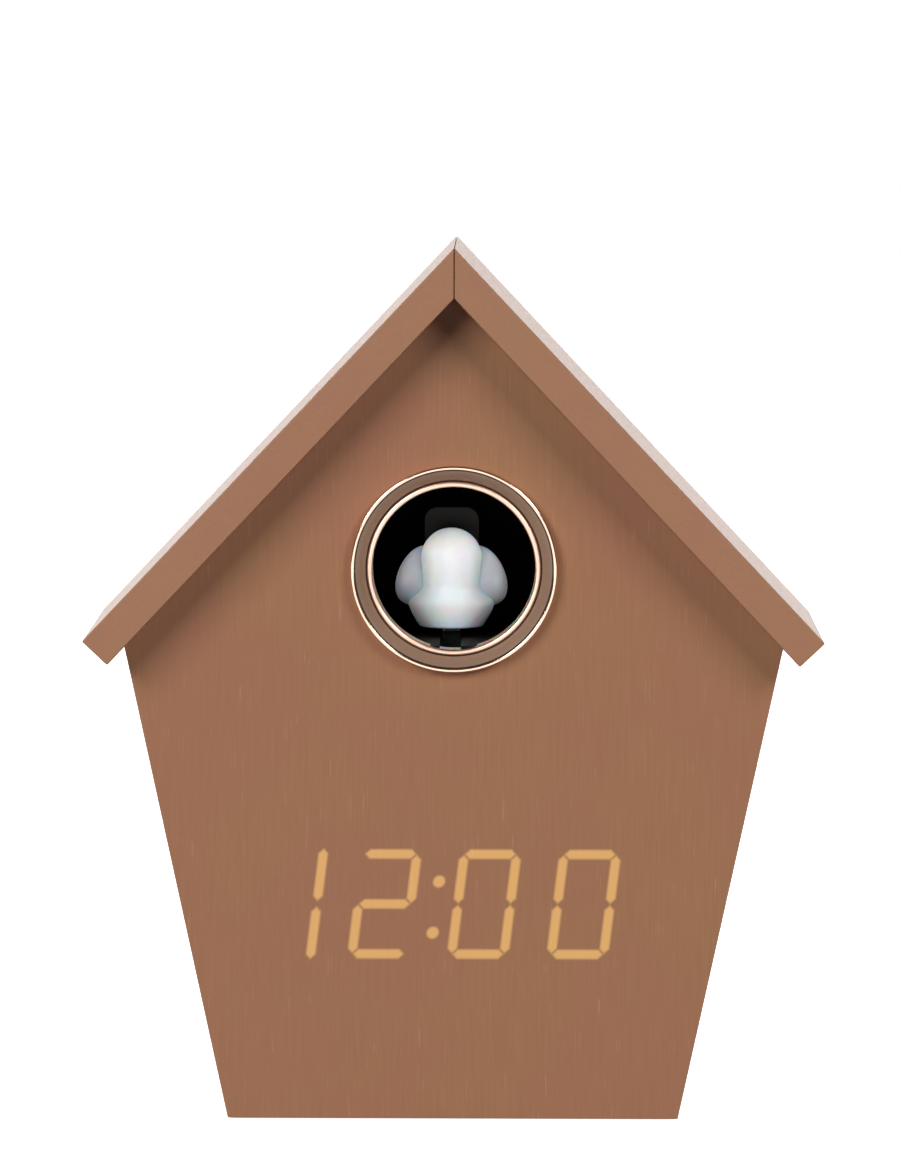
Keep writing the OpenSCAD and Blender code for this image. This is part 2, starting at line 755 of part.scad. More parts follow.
// One segment: a bar with pointed ends, centred on c, upright or level, leaned over
function lean(p) = [p.x + p.y * digit_k, p.y];
function seg_points(c, l, upright) = [for (p = [[-l / 2, 0], [-l / 2 + seg_w / 2, seg_w / 2],
        [l / 2 - seg_w / 2, seg_w / 2], [l / 2, 0], [l / 2 - seg_w / 2, -seg_w / 2],
        [-l / 2 + seg_w / 2, -seg_w / 2]])
    lean(c + (upright ? [p.y, p.x] : p))];
seg_places = [[0, 1], [0, 0], [0, -1], [1, 0.5], [1, -0.5], [-1, 0.5], [-1, -0.5]];
seg_level = digit_w - 0.5;
seg_upright = digit_h / 2 - 0.5;

module segment(i) {
    p = seg_places[i];
    polygon(seg_points([p.x * digit_w / 2, p.y * digit_h / 2],
        p.x == 0 ? seg_level : seg_upright, p.x != 0));
}

// Segment order: top, middle, bottom, upper right, lower right, upper left, lower left
digit_sets = [[0, 1, 2, 3, 6], [0, 2, 3, 4, 5, 6], [0, 2, 3, 4, 5, 6]];
digit_rest = [[4, 5], [1], [1]];

module digit_row(sets) {
    for (d = [0 : 2]) translate([digit_x + d * digit_pitch, digit_cz])
        for (i = sets[d]) segment(i);
}

module marks() {
    half_l = digit_h / 2 + 0.4;
    for (s = [-1, 1]) {
        translate([one_x, digit_cz])
            polygon(seg_points([0, s * (half_l / 2 + 0.75)], half_l, true));
        translate([colon_x, digit_cz]) translate(lean([0, s * colon_dz - 0.7]))
            circle(colon_r, $fn = 32);
    }
}

module display_housing() {
    color("#202020") difference() {
        union() {
            block(window_x0 + window_gap, window_x1 - window_gap, panel_y, inner_y,
                digit_cz - window_h / 2 + window_gap, digit_cz + window_h / 2 - window_gap);
            block(window_x0 - lip, window_x1 + lip, inner_y, display_board_y,
                digit_cz - window_h / 2 - lip, digit_cz + window_h / 2 + lip);
        }
        slab(panel_y - e, light_y1) {
            digit_row(digit_sets);
            digit_row(digit_rest);
            marks();
        }
        for (p = display_holes) rod_y(p.x, p.y, small_screw_r, inner_y - e,
            display_board_y + e);
    }
}

module segments_lit() {
    color("orange") slab(panel_y, light_y1) {
        digit_row(digit_sets);
        marks();
    }
}

module segments_unlit() color("wheat") slab(panel_y, light_y1) digit_row(digit_rest);

module display_board() {
    color("darkgreen") difference() {
        block(window_x0 - lip, window_x1 + lip, display_board_y, display_board_y + board_t,
            digit_cz - window_h / 2 - lip, digit_cz + window_h / 2 + lip);
        for (p = display_holes) rod_y(p.x, p.y, small_screw_r, display_board_y - e,
            display_board_y + board_t + e);
    }
}

module display_screws() {
    color("silver") for (p = display_holes)
        screw_y(p.x, p.y, display_board_y + board_t, small_screw_r,
            lip_t + board_t + pilot_l);
}

ribbon_x = -33;
ribbon_w = 12;
ribbon_t = 0.6;
ribbon_y0 = display_board_y + board_t;
ribbon_z0 = digit_cz + 8;
ribbon_z1 = board_z0 + 7;
ribbon_end = 4;                        // level length at each end
// The ribbon's climb, as shares of its run back and of its rise
ribbon_climb = [[0.2, 0.22], [0.35, 0.65], [0.53, 0.91], [0.75, 1]];
ribbon_path = concat([[ribbon_y0, ribbon_z0], [ribbon_y0 + ribbon_end, ribbon_z0]],
    [for (p = ribbon_climb) [ribbon_y0 + p.x * (board_y0 - ribbon_y0),
        ribbon_z0 + p.y * (ribbon_z1 - ribbon_z0)]],
    [[board_y0 - ribbon_end, ribbon_z1], [board_y0, ribbon_z1]]);

module display_ribbon() {
    p = smooth(ribbon_path, 5);
    color("lightgray") bar_x(ribbon_x, ribbon_x + ribbon_w) polygon(concat(
        [for (q = p) q + [0, ribbon_t / 2]],
        [for (i = [len(p) - 1 : -1 : 0]) p[i] - [0, ribbon_t / 2]]));
}

// ---- main board, controls and power ----

module main_board() {
    color("darkgreen") difference() {
        block(board_x0, board_x1, board_y0, board_y1, board_z0, board_z1);
        for (p = board_holes) rod_y(p.x, p.y, small_screw_r, board_y0 - e, board_y1 + e);
    }
}

plug_h = 4;
plug_w = 5;
// Lower left corners of the pieces on the board, across and up from the board's own corner
motor_plug = [board_x0 + 30, board_z0 + 12];
battery_plug = [board_x0 + 4, board_z0 + 10];
main_chip = [board_x0 + 20, board_z0 + 18];
driver_chip = [board_x0 + 8, board_z0 + 24];
can_z = board_z0 + 34;
module on_board(place, w, h, t) {
    block(place.x, place.x + w, board_y0 - t, board_y0, place.y, place.y + h);
}
module board_can(x, r, t) rod_y(board_x0 + x, can_z, r, board_y0 - t, board_y0);

module board_parts() {
    color("#222222") {
        on_board(main_chip, 10, 10, 1.5);
        on_board(driver_chip, 6, 5, 1.2);
        board_can(6, 3, 8);
        board_can(14, 3, 8);
        board_can(28, 4, 3);
        on_board(motor_plug, plug_w, 4, plug_h);
        on_board(battery_plug, plug_w, 4, plug_h);
    }
}

// Board screws come from the front side of the board into the cover's posts
module board_screws() {
    color("silver") for (p = board_holes) {
        rod_y(p.x, p.y, small_screw_r, board_y0, cover_y0 - 1);
        rod_y(p.x, p.y, 2 * small_screw_r, board_y0 - 1.2, board_y0);
    }
}

tact_w = 6;
plunger_r = 1.7;
module button_switches() {
    color("#303030") for (i = [0 : 2]) {
        x = button_x0 + i * button_pitch;
        block(x - tact_w / 2, x + tact_w / 2, board_y1, board_y1 + tact_h,
            button_z - tact_w / 2, button_z + tact_w / 2);
        rod_y(x, button_z, plunger_r, board_y1 + tact_h, board_y1 + tact_h + 1);
    }
}

module button(i) {
    x = button_x0 + i * button_pitch;
    color("darkgray") {
        rod_y(x, button_z, button_r, cover_y0 - button_gap, cover_y1 + 1.2);
        rod_y(x, button_z, button_r + 1, cover_y0 - button_gap - 1, cover_y0 - button_gap);
    }
}
module button_left() button(0);
module button_middle() button(1);
module button_right() button(2);

switch_l = 10;
switch_w = 5;
switch_h = 4;
module slide_switch() {
    x = switch_x + (switch_travel - switch_l) / 2;
    color("silver") block(x, x + switch_l, board_y1, board_y1 + switch_h,
        switch_z - switch_w / 2, switch_z + switch_w / 2);
}

module slide_knob() {
    color("black") {
        block(switch_x - knob_w / 2, switch_x + knob_w / 2, board_y1 + switch_h + 0.1,
            cover_y1 + 1,
            switch_z - knob_w / 2, switch_z + knob_w / 2);
    }
}

inlet_r = 4;
inlet_gap = 0.15;
inlet_hole_r = 2.8;
inlet_pin_r = 1;
inlet_w = 9;
module power_inlet() {
    color("#202020") difference() {
        union() {
            block(inlet_x - inlet_w / 2, inlet_x + inlet_w / 2, board_y1, cover_y0 - 0.2,
                inlet_z - inlet_w / 2, inlet_z + inlet_w / 2);
            rod_y(inlet_x, inlet_z, inlet_r, board_y1, cover_y1);
        }
        difference() {
            rod_y(inlet_x, inlet_z, inlet_hole_r, board_y1 + 0.8, cover_y1 + e);
            rod_y(inlet_x, inlet_z, inlet_pin_r, board_y1, cover_y1 - 1);
        }
    }
}

// ---- loudspeaker ----

basket_d = 9;                          // depth of the basket behind its rim
basket_r = 9.5;                        // outer radius of the basket's back plate
coil_r = 4.5;
rim_t = 1.2;
magnet_r = 8.5;
magnet_l = 6;
speaker_y0 = cover_y0 - basket_d;
module speaker_place() {
    translate([speaker_x, cover_y0, speaker_z]) rotate([90, 0, 0]) rotate_extrude() children();
}

// Profiles in radius and depth forward of the cover
module speaker_frame() {
    inner = speaker_r - speaker_rim;
    color("gray") speaker_place() polygon([[inner, 0], [speaker_r, 0],
        [speaker_r, rim_t], [speaker_r - 2, rim_t], [basket_r, basket_d], [coil_r, basket_d],
        [coil_r, basket_d - 0.8], [basket_r - 0.5, basket_d - 0.8], [inner, rim_t]]);
}

module speaker_cone() {
    inner = speaker_r - speaker_rim;
    color("dimgray") speaker_place() polygon([[inner, 0.4], [inner, 0.8],
        [inner - 2, 0.6], [coil_r - 0.5, 6.6], [0, 6.9], [0, 6.5], [coil_r - 0.7, 6.2],
        [inner - 2.2, 0.2]]);
}

module speaker_magnet() {
    color("silver") rod_y(speaker_x, speaker_z, magnet_r, speaker_y0 - magnet_l, speaker_y0);
}

// ---- battery bay ----

module battery_box() {
    color("#181818") difference() {
        block(bay_x0 - bay_wall, bay_x1 + bay_wall, bay_y0, cover_y0,
            bay_z0 - bay_wall, door_z1 + bay_wall);
        block(bay_x0, bay_x1, bay_y0 + bay_wall, cover_y0 + e, bay_z0, door_z1);
    }
}

function cell_z(i) = bay_z0 + 0.3 + cell_pitch * (i + 0.5);

module backup_cells() {
    x0 = bay_x0 + contact_t + spring_l + 0.3;
    color("steelblue") for (i = [0 : cell_n - 1]) {
        rod_across(cell_y, cell_z(i), cell_r, x0, x0 + cell_l - 0.8);
        rod_across(cell_y, cell_z(i), 1.9, x0 + cell_l - 0.8, x0 + cell_l);
    }
}

module battery_contacts() {
    turns = 3;
    wire = 0.3;
    color("silver") for (i = [0 : cell_n - 1]) {
        for (x = [bay_x0, bay_x1 - contact_t])
            block(x, x + contact_t, cell_y - 4, cell_y + 4, cell_z(i) - 4, cell_z(i) + 4);
        tube([for (k = [0 : 12 * turns]) let (a = 30 * k, r = 3.4 - 0.9 * k / (12 * turns))
            [bay_x0 + contact_t + wire + 0.05 + (spring_l - 2 * wire) * k / (12 * turns),
                cell_y + r * cos(a), cell_z(i) + r * sin(a)]], wire, 6);
    }
}

module battery_door() {
    g = door_gap;
    y0 = cover_y0;
    color("#161616") difference() {
        union() {
            block(bay_x0 + g, bay_x1 - g, y0, cover_y1, hinge_z, door_z1 - g);
            rod_across(hinge_y, hinge_z, hinge_r, bay_x0 + g, bay_x1 - g);
            rod_across(hinge_y, hinge_z, hinge_pin_r, bay_x0 - hinge_pin_l + 0.2,
                bay_x1 + hinge_pin_l - 0.2);
        }
        block((bay_x0 + bay_x1) / 2 - 6, (bay_x0 + bay_x1) / 2 + 6, cover_y1 - 1,
            cover_y1 + e, door_z1 - g - 3, door_z1 + e);
    }
}

// ---- leads, held by clips inside the case ----

lead_r = 0.5;
lead_gap = 1.4;
module lead_pair(points) {
    for (s = [-1, 1]) tube(smooth([for (p = points) p + [0, 0, s * lead_gap / 2]]), lead_r);
}

motor_end_x = frame_x1 + gearhead_l + motor_l;
plug_x = motor_plug.x + plug_w + lead_r + 0.1;
plug_mid = motor_plug.x + plug_w / 2;
plug_z = board_z0 + 14;
module motor_leads() {
    color("red") lead_pair([[motor_end_x + lead_r, motor_y, compound_z],
        [motor_end_x + 3, motor_y + 4, compound_z - 4],
        [motor_end_x - 4, board_y0 - 2, compound_z - 9], [12, board_y0 - 1, z0 + 73],
        [-4, board_y0 - 2, z0 + 72], [plug_x + 4.4, board_y0 - 2, plug_z - 2],
        [plug_x, board_y0 - 2, plug_z]]);
}

module speaker_leads() {
    x = speaker_x - 0.6 * speaker_r;
    z = speaker_z + 0.45 * speaker_r;
    color("black") lead_pair([[x, cover_y0 - 8, z],
        [bay_x1 + bay_wall + 3.8, board_y0 - 4, door_z1 + bay_wall + 1],
        [-2, board_y0 - 3, z0 + 66], [-12, board_y0 - 5, z0 + 70],
        [plug_mid, board_y0 - plug_h - lead_r - 1.5, plug_z],
        [plug_mid, board_y0 - plug_h - lead_r - 0.1, plug_z]]);
}

module battery_leads() {
    x = battery_plug.x + plug_w;
    z = door_z1 + bay_wall;
    color("red") lead_pair([[x + 2, bay_y0 + 2, z + 1.4], [x + 1.5, board_y0 - 4, z + 5],
        [x + 0.8, board_y0 - 2, board_z0 + 12]]);
}

front_panel();
front_veneer();
left_wall();
right_wall();
base_board();
roof_left();
roof_right();
ridge_block();
corner_blocks();
back_cover();
cover_screws();
feet();
bezel_ring();
bird_chamber();
chamber_back();
drive_frame();
module_screws();
guide_rods();
gear_axles();
carriage();
bird_post();
bird_body();
bird_wings();
rack_gear();
compound_gear();
motor_pinion();
motor_shaft();
gearhead();
motor();
home_switch();
display_housing();
segments_lit();
segments_unlit();
display_board();
display_screws();
display_ribbon();
main_board();
board_parts();
board_screws();
button_switches();
button_left();
button_middle();
button_right();
slide_switch();
slide_knob();
power_inlet();
speaker_frame();
speaker_cone();
speaker_magnet();
battery_box();
battery_contacts();
backup_cells();
battery_door();
motor_leads();
speaker_leads();
battery_leads();
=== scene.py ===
import math

import bmesh
import bpy
from mathutils import Matrix, Vector


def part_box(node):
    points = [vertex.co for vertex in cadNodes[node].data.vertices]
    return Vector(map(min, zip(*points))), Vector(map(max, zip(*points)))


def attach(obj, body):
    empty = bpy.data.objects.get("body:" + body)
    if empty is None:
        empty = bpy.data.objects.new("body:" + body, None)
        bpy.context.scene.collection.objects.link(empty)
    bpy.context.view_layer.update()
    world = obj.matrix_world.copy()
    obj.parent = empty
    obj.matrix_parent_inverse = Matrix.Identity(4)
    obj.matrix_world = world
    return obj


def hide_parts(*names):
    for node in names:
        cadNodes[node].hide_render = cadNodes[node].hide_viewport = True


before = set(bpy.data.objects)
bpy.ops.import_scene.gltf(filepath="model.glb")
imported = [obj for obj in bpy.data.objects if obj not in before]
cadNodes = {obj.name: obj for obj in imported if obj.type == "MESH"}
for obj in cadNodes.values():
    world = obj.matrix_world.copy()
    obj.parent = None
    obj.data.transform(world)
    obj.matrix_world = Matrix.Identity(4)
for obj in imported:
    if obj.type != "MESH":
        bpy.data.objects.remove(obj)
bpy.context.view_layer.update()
mm = 0.001


def tone(red, green, blue):
    # a screen colour, 0 to 255, as the light it stands for
    def light(value):
        value = value / 255
        return value / 12.92 if value <= 0.04045 else ((value + 0.055) / 1.055) ** 2.4
    return (light(red), light(green), light(blue), 1.0)


def shade(colour, amount):
    return tuple(c * amount for c in colour[:3]) + (1.0,)


class Wire:
    # a node's output that takes part in sums
    def __init__(self, finish, socket):
        self.finish = finish
        self.socket = socket

    def sum(self, operation, first, second=0.0):
        return self.finish.add("ShaderNodeMath", {"operation": operation},
                               {0: first, 1: second})

    def __add__(self, other):
        return self.sum("ADD", self, other)

    def __radd__(self, other):
        return self.sum("ADD", other, self)

    def __sub__(self, other):
        return self.sum("SUBTRACT", self, other)

    def __rsub__(self, other):
        return self.sum("SUBTRACT", other, self)

    def __mul__(self, other):
        return self.sum("MULTIPLY", self, other)

    def __rmul__(self, other):
        return self.sum("MULTIPLY", other, self)

    def __truediv__(self, other):
        return self.sum("DIVIDE", self, other)

    def __gt__(self, other):
        return self.sum("GREATER_THAN", self, other)

    def __lt__(self, other):
        return self.sum("LESS_THAN", self, other)

    def __abs__(self):
        return self.sum("ABSOLUTE", self)

    def most(self, other):
        return self.sum("MAXIMUM", self, other)

    def swing(self, amount):
        # noise that runs from 0 to 1, made to go as far below nought as above it
        return (self - 0.5) * amount


class Finish:
    # one material and the nodes behind it
    def __init__(self, name, **settings):
        self.material = bpy.data.materials.new(name)
        self.material.use_nodes = True
        self.tree = self.material.node_tree
        self.shader = self.tree.nodes["Principled BSDF"]
        self.coords = self.add("ShaderNodeTexCoord", out="Object")
        for words, value in settings.items():
            self.put(words, value)

    def put(self, words, value):
        names = {"color": "Base Color", "rough": "Roughness", "metal": "Metallic",
                 "coat": "Coat Weight", "coatRough": "Coat Roughness", "glow": "Emission Color",
                 "glowStrength": "Emission Strength", "normal": "Normal",
                 "gloss": "Specular IOR Level", "sheen": "Sheen Weight",
                 "under": "Subsurface Weight", "underDepth": "Subsurface Scale"}
        self.feed(self.shader.inputs[names[words]], value)

    def feed(self, socket, value):
        if isinstance(value, Wire):
            self.tree.links.new(value.socket, socket)
        else:
            socket.default_value = value

    def add(self, kind, settings=None, inputs=None, out=0):
        node = self.tree.nodes.new(kind)
        for word, value in (settings or {}).items():
            if word == "stops":
                ramp = node.color_ramp
                while len(ramp.elements) < len(value):
                    ramp.elements.new(0.5)
                for element, (place, colour) in zip(ramp.elements, value):
                    element.position = place
                    element.color = colour
            else:
                setattr(node, word, value)
        for word, value in (inputs or {}).items():
            self.feed(node.inputs[word], value)
        return Wire(self, node.outputs[out])

    def axis(self, letter):
        return self.add("ShaderNodeSeparateXYZ", None, {0: self.coords}, letter)

    def wave(self, phase):
        return self.add("ShaderNodeMath", {"operation": "SINE"}, {0: phase})

    def reach(self, across, up):
        # how far a point lies from the middle, from its two distances
        return self.add("ShaderNodeMath", {"operation": "SQRT"}, {0: across * across + up * up})

    def noise(self, scale, detail=2.0, place=(0, 0, 0), rough=0.5):
        # scale is how many waves there are per metre, one number or one for each axis
        scales = scale if isinstance(scale, tuple) else (scale, scale, scale)
        spot = self.add("ShaderNodeMapping", None,
                        {"Vector": self.coords, "Scale": scales, "Location": place})
        return self.add("ShaderNodeTexNoise", {"noise_dimensions": "3D"},
                        {"Vector": spot, "Scale": 1.0, "Detail": detail, "Roughness": rough})

    def step(self, value, low, high, start=0.0, end=1.0):
        return self.add("ShaderNodeMapRange", {"interpolation_type": "SMOOTHSTEP"},
                        {"Value": value, "From Min": low, "From Max": high,
                         "To Min": start, "To Max": end})

    def mix(self, amount, first, second):
        return self.add("ShaderNodeMix", {"data_type": "RGBA"},
                        {0: amount, 6: first, 7: second}, 2)

    def blend(self, cloud, first, second):
        # a soft drift between two colours that follows some noise
        return self.mix(self.step(cloud, 0.3, 0.7), first, second)

    def bump(self, height, distance, strength=1.0):
        self.put("normal", self.add("ShaderNodeBump", None,
                                    {"Height": height, "Distance": distance,
                                     "Strength": strength}))


laminate = {
    "brown": tone(157, 111, 83), "red": tone(160, 108, 84), "ochre": tone(158, 115, 80),
    "pale": tone(206, 158, 132), "patches": 26, "tint": 0.55,
    # waves per metre along and across the brushing, and how dark its valleys are
    "brushAlong": 60, "brushAcross": 1900, "valleys": 0.16, "valleyShade": 0.62,
    "streakWide": 0.26 * mm, "streakLong": 9 * mm, "streakBand": 14, "streakGroup": 1.6,
    "streakStrength": 0.2, "rough": 0.42, "brushRough": 0.12, "streakShine": 0.08,
    "depth": 0.006 * mm,
}


def streaks(finish, along, place):
    # short bright brush marks that run along one axis, few and thin
    wide, long = 1 / laminate["streakWide"], 1 / laminate["streakLong"]
    thin = tuple(long if axis == along else wide for axis in "xyz")
    broad = tuple(long * laminate["streakGroup"] if axis == along
                  else wide / laminate["streakBand"] for axis in "xyz")
    marks = finish.noise(thin, 0.0, place)
    here = finish.noise(broad, 1.0, place)
    return finish.step(marks, 0.66, 0.8) * finish.step(here, 0.48, 0.66)


def laminateColour(finish, along="z", place=(3.1, 1.7, 0.4)):
    patches = finish.noise(laminate["patches"], 3.0, place)
    hue = finish.mix(finish.step(patches, 0.35, 0.65), laminate["red"], laminate["ochre"])
    scale = tuple(laminate["brushAlong"] if axis == along else laminate["brushAcross"]
                  for axis in "xyz")
    brush = finish.noise(scale, 2.0, place)
    colour = finish.mix(laminate["tint"], hue, laminate["brown"])
    darker = finish.mix(finish.step(brush, 0.3, 0.7, 0.0, laminate["valleys"]), colour,
                        shade(laminate["brown"], laminate["valleyShade"]))
    marks = streaks(finish, along, place)
    streaked = finish.mix(marks * laminate["streakStrength"], darker, laminate["pale"])
    return streaked, brush, marks


def brushSurface(finish, *settings):
    colour, brush, marks = laminateColour(finish, *settings)
    finish.put("color", colour)
    finish.put("rough", laminate["rough"] + brush.swing(laminate["brushRough"])
               - marks * laminate["streakShine"])
    finish.bump(brush + marks, laminate["depth"], 0.5)
    return brush


def laminateFinish(name, along, place):
    finish = Finish(name, gloss=0.3)
    brushSurface(finish, along, place)
    return finish


def plasticFinish(name, colour, rough, grain, depth, gloss=0.5):
    wear = 0.06
    finish = Finish(name, gloss=gloss)
    fine = finish.noise(grain, 2.0)
    broad = finish.noise(45, 3.0, (2.2, 0.3, 1.4))
    finish.put("color", finish.blend(broad, shade(colour, 1 - wear), shade(colour, 1 + wear)))
    finish.put("rough", rough + broad.swing(0.2) + fine.swing(0.08))
    finish.bump(fine, depth * mm, 0.6)
    return finish


def metalFinish(name, colour, rough=0.3, along="y", lines=3000, depth=0.004):
    # lines is how many brush lines there are per metre, each 40 times as long as wide
    stain, lineLength = 0.08, 40
    finish = Finish(name, metal=1.0)
    scale = tuple(lines / lineLength if axis == along else lines for axis in "xyz")
    brush = finish.noise(scale, 2.0)
    broad = finish.noise(90, 3.0, (0.7, 4.1, 2.0))
    finish.put("color", finish.mix(finish.step(broad, 0.35, 0.7), colour,
                                   shade(colour, 1 - stain)))
    finish.put("rough", rough + brush.swing(0.14) + broad.swing(0.12))
    finish.bump(brush, depth * mm, 0.5)
    return finish


def fibreColour(finish):
    # pressed wood fibres that lie flat, with a few dark specks
    fibres = finish.noise((900, 2600, 900), 4.0, (0.2, 0.1, 0.5), 0.65)
    specks = finish.noise(3200, 2.0)
    base = finish.mix(finish.step(fibres, 0.3, 0.72), tone(122, 92, 62), tone(172, 138, 100))
    return finish.mix(finish.step(specks, 0.62, 0.78, 0.0, 0.5), base, tone(80, 56, 36)), fibres


# from and to say how far outward a face has to look before it is laminate
fibreEdge = {"from": 4.0, "to": 6.0, "baseTop": 20, "rough": 0.85, "depth": 0.05 * mm}


def cutEdgeFinish(name):
    # laminate on the faces that look away from the case's middle, fibreboard on the others
    finish = Finish(name, gloss=0.4)
    skin = laminateColour(finish)[0]
    inside, fibres = fibreColour(finish)
    normal = finish.add("ShaderNodeNewGeometry", None, None, "True Normal")
    faceX, faceZ = [finish.add("ShaderNodeSeparateXYZ", None, {0: normal}, letter)
                    for letter in ("X", "Z")]
    x, z = finish.axis("X"), finish.axis("Z")
    outward = (faceX * x / mm).most(faceZ * (z - fibreEdge["baseTop"] * mm) / mm)
    mask = finish.step(outward, fibreEdge["from"], fibreEdge["to"])
    finish.put("color", finish.mix(mask, inside, skin))
    finish.put("rough", finish.step(mask, 0.0, 1.0, fibreEdge["rough"], laminate["rough"]))
    finish.bump(fibres * (1 - mask), fibreEdge["depth"], 0.5)
    return finish


def pineFinish(name):
    ringLine = {"slope": 0.8, "waver": 0.006, "rate": 2600}
    finish = Finish(name, gloss=0.3)
    waver = finish.noise((40, 8, 40), 2.0)
    rings = finish.wave((finish.axis("X") * ringLine["slope"] + finish.axis("Z")
                         + waver * ringLine["waver"]) * ringLine["rate"])
    pores = finish.noise((5000, 160, 5000), 2.0)
    base = finish.mix(finish.step(rings, -0.6, 0.9), tone(212, 176, 122), tone(176, 128, 76))
    finish.put("color", finish.mix(finish.step(pores, 0.55, 0.75, 0.0, 0.35), base,
                                   tone(140, 98, 56)))
    finish.put("rough", 0.62 + pores * 0.2)
    finish.bump(pores, 0.03 * mm, 0.5)
    return finish


def rubberFinish(name):
    finish = Finish(name, gloss=0.3, sheen=0.15)
    pits = finish.noise(1800, 3.0)
    dust = finish.noise((140, 140, 260), 3.0)
    finish.put("color", finish.mix(finish.step(dust, 0.45, 0.75), tone(38, 37, 36),
                                   tone(66, 63, 60)))
    finish.put("rough", 0.78 + pits.swing(0.2))
    finish.bump(pits, 0.06 * mm, 0.6)
    return finish


ringFinish = {
    # groove is a dark brown of painted shade for the grooves beside the cone
    "colour": tone(226, 192, 170), "dull": tone(154, 125, 104), "groove": tone(52, 34, 26),
    # radii in mm: the dull cone, the dark lines of painted shade that edge it in its grooves,
    # and where the outer bead is
    "cone": (19.98, 22.62), "lines": ((19.88, 20.16), (22.46, 22.72)), "bead": (21.0, 21.1),
    "soft": 0.03, "turningRate": 52000, "turningDepth": 0.0012,
    "rough": 0.34, "beadShine": 0.22, "coneRough": 0.16, "cloudRough": 0.05,
    "coneMetal": 0.65, "grooveShadeMetal": 0.8,
}


def roseMetalFinish(name):
    # turned and polished, with the faint rings that the tool leaves
    s = ringFinish
    finish = Finish(name, metal=1.0)
    low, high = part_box("bezel_ring")
    radius = finish.reach(finish.axis("X"), finish.axis("Z") - (low.z + high.z) / 2)
    turned = finish.wave(radius * s["turningRate"])
    cloud = finish.noise(160, 3.0)

    def band(inner, outer):
        return (finish.step(radius, (inner - s["soft"]) * mm, inner * mm)
                * (1 - finish.step(radius, outer * mm, (outer + s["soft"]) * mm)))

    cone = band(*s["cone"])
    # painted shade: both grooves beside the cone are coloured dark and made less metallic
    innerShadeLine, outerShadeLine = [band(*line) for line in s["lines"]]
    groove = innerShadeLine.most(outerShadeLine)
    bead = finish.step(radius, s["bead"][0] * mm, s["bead"][1] * mm)
    face = finish.mix(cone, s["colour"], s["dull"])
    finish.put("color", finish.mix(groove, face, s["groove"]))
    finish.put("metal", (1 - cone * s["coneMetal"]) * (1 - groove * s["grooveShadeMetal"]))
    finish.put("rough", s["rough"] - bead * (1 - cone) * s["beadShine"]
               + cone * s["coneRough"] + cloud.swing(s["cloudRough"]))
    finish.bump(turned * cone, s["turningDepth"] * mm, 0.5)
    return finish


def chamberFinish(name):
    finish = Finish(name, gloss=0.05)
    fine = finish.noise(1500, 2.0)
    smear = finish.noise((70, 30, 70), 3.0)
    finish.put("color", finish.blend(smear, tone(14, 9, 7), tone(21, 15, 12)))
    finish.put("rough", 0.55 + smear.swing(0.2))
    finish.bump(fine, 0.006 * mm, 0.5)
    return finish


def birdFinish(name, low, high):
    finish = Finish(name, gloss=0.45, under=0.85, underDepth=5 * mm)
    cloud = finish.noise(120, 3.0)
    fine = finish.noise(2400, 2.0)
    finish.put("color", finish.blend(cloud, low, high))
    finish.put("rough", 0.38 + cloud.swing(0.1))
    finish.bump(fine, 0.004 * mm, 0.4)
    return finish


def boardFinish(name):
    # solder mask over copper tracks
    finish = Finish(name, gloss=0.5, coat=0.25, coatRough=0.25)
    flat = finish.add("ShaderNodeCombineXYZ", None, {0: finish.axis("X"), 1: finish.axis("Z")})
    grid = finish.add("ShaderNodeTexBrick", {"offset": 0.37, "offset_frequency": 2,
                                             "squash": 0.6, "squash_frequency": 3},
                      {"Vector": flat, "Scale": 420.0, "Mortar Size": 0.035, "Bias": 0.0,
                       "Brick Width": 1.9, "Row Height": 0.55}, "Fac")
    weave = finish.noise(2400, 1.0)
    base = finish.blend(weave, tone(14, 70, 38), tone(22, 86, 48))
    finish.put("color", finish.mix(grid, base, tone(52, 132, 74)))
    finish.put("rough", 0.34 + weave.swing(0.1))
    finish.bump(grid, 0.02 * mm, 0.5)
    return finish


def ribbonFinish(name):
    wirePitch = 1.27 * mm
    finish = Finish(name, gloss=0.4)
    x = finish.axis("X")
    ridge = finish.wave(x * (2 * math.pi / wirePitch))
    first = x < (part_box("display_ribbon")[0].x + wirePitch)
    dirt = finish.noise(300, 2.0)
    grey = finish.blend(dirt, tone(150, 150, 152), tone(168, 168, 168))
    finish.put("color", finish.mix(first, grey, tone(170, 40, 34)))
    finish.put("rough", 0.5 + dirt.swing(0.1))
    finish.bump(ridge, 0.1 * mm, 0.6)
    return finish


def glowFinish(name, colour, glow):
    finish = Finish(name, gloss=0.4, glowStrength=1.0)
    cloud = finish.noise(500, 2.0)
    finish.put("color", finish.blend(cloud, shade(colour, 0.9), colour))
    finish.put("glow", finish.blend(cloud, shade(glow, 0.85), glow))
    finish.put("rough", 0.4 + cloud * 0.1)
    return finish


def cellFinish(name):
    # shrink sleeve, with a plain pale band near the raised end, and nickel caps
    finish = Finish(name, gloss=0.5, coat=0.3, coatRough=0.2)
    low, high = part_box("backup_cells")
    along = (finish.axis("X") - low.x) / (high.x - low.x)
    band = finish.step(along, 0.74, 0.745) * (1 - finish.step(along, 0.93, 0.935))
    cap = finish.step(along, 0.965, 0.97).most(1 - finish.step(along, 0.008, 0.012))
    scuff = finish.noise((500, 1500, 1500), 3.0)
    sleeve = finish.mix(band, tone(34, 78, 132), tone(206, 208, 206))
    finish.put("color", finish.mix(cap, sleeve, tone(190, 190, 186)))
    finish.put("metal", cap)
    finish.put("rough", 0.3 + scuff * 0.15)
    finish.bump(scuff, 0.01 * mm, 0.5)
    return finish


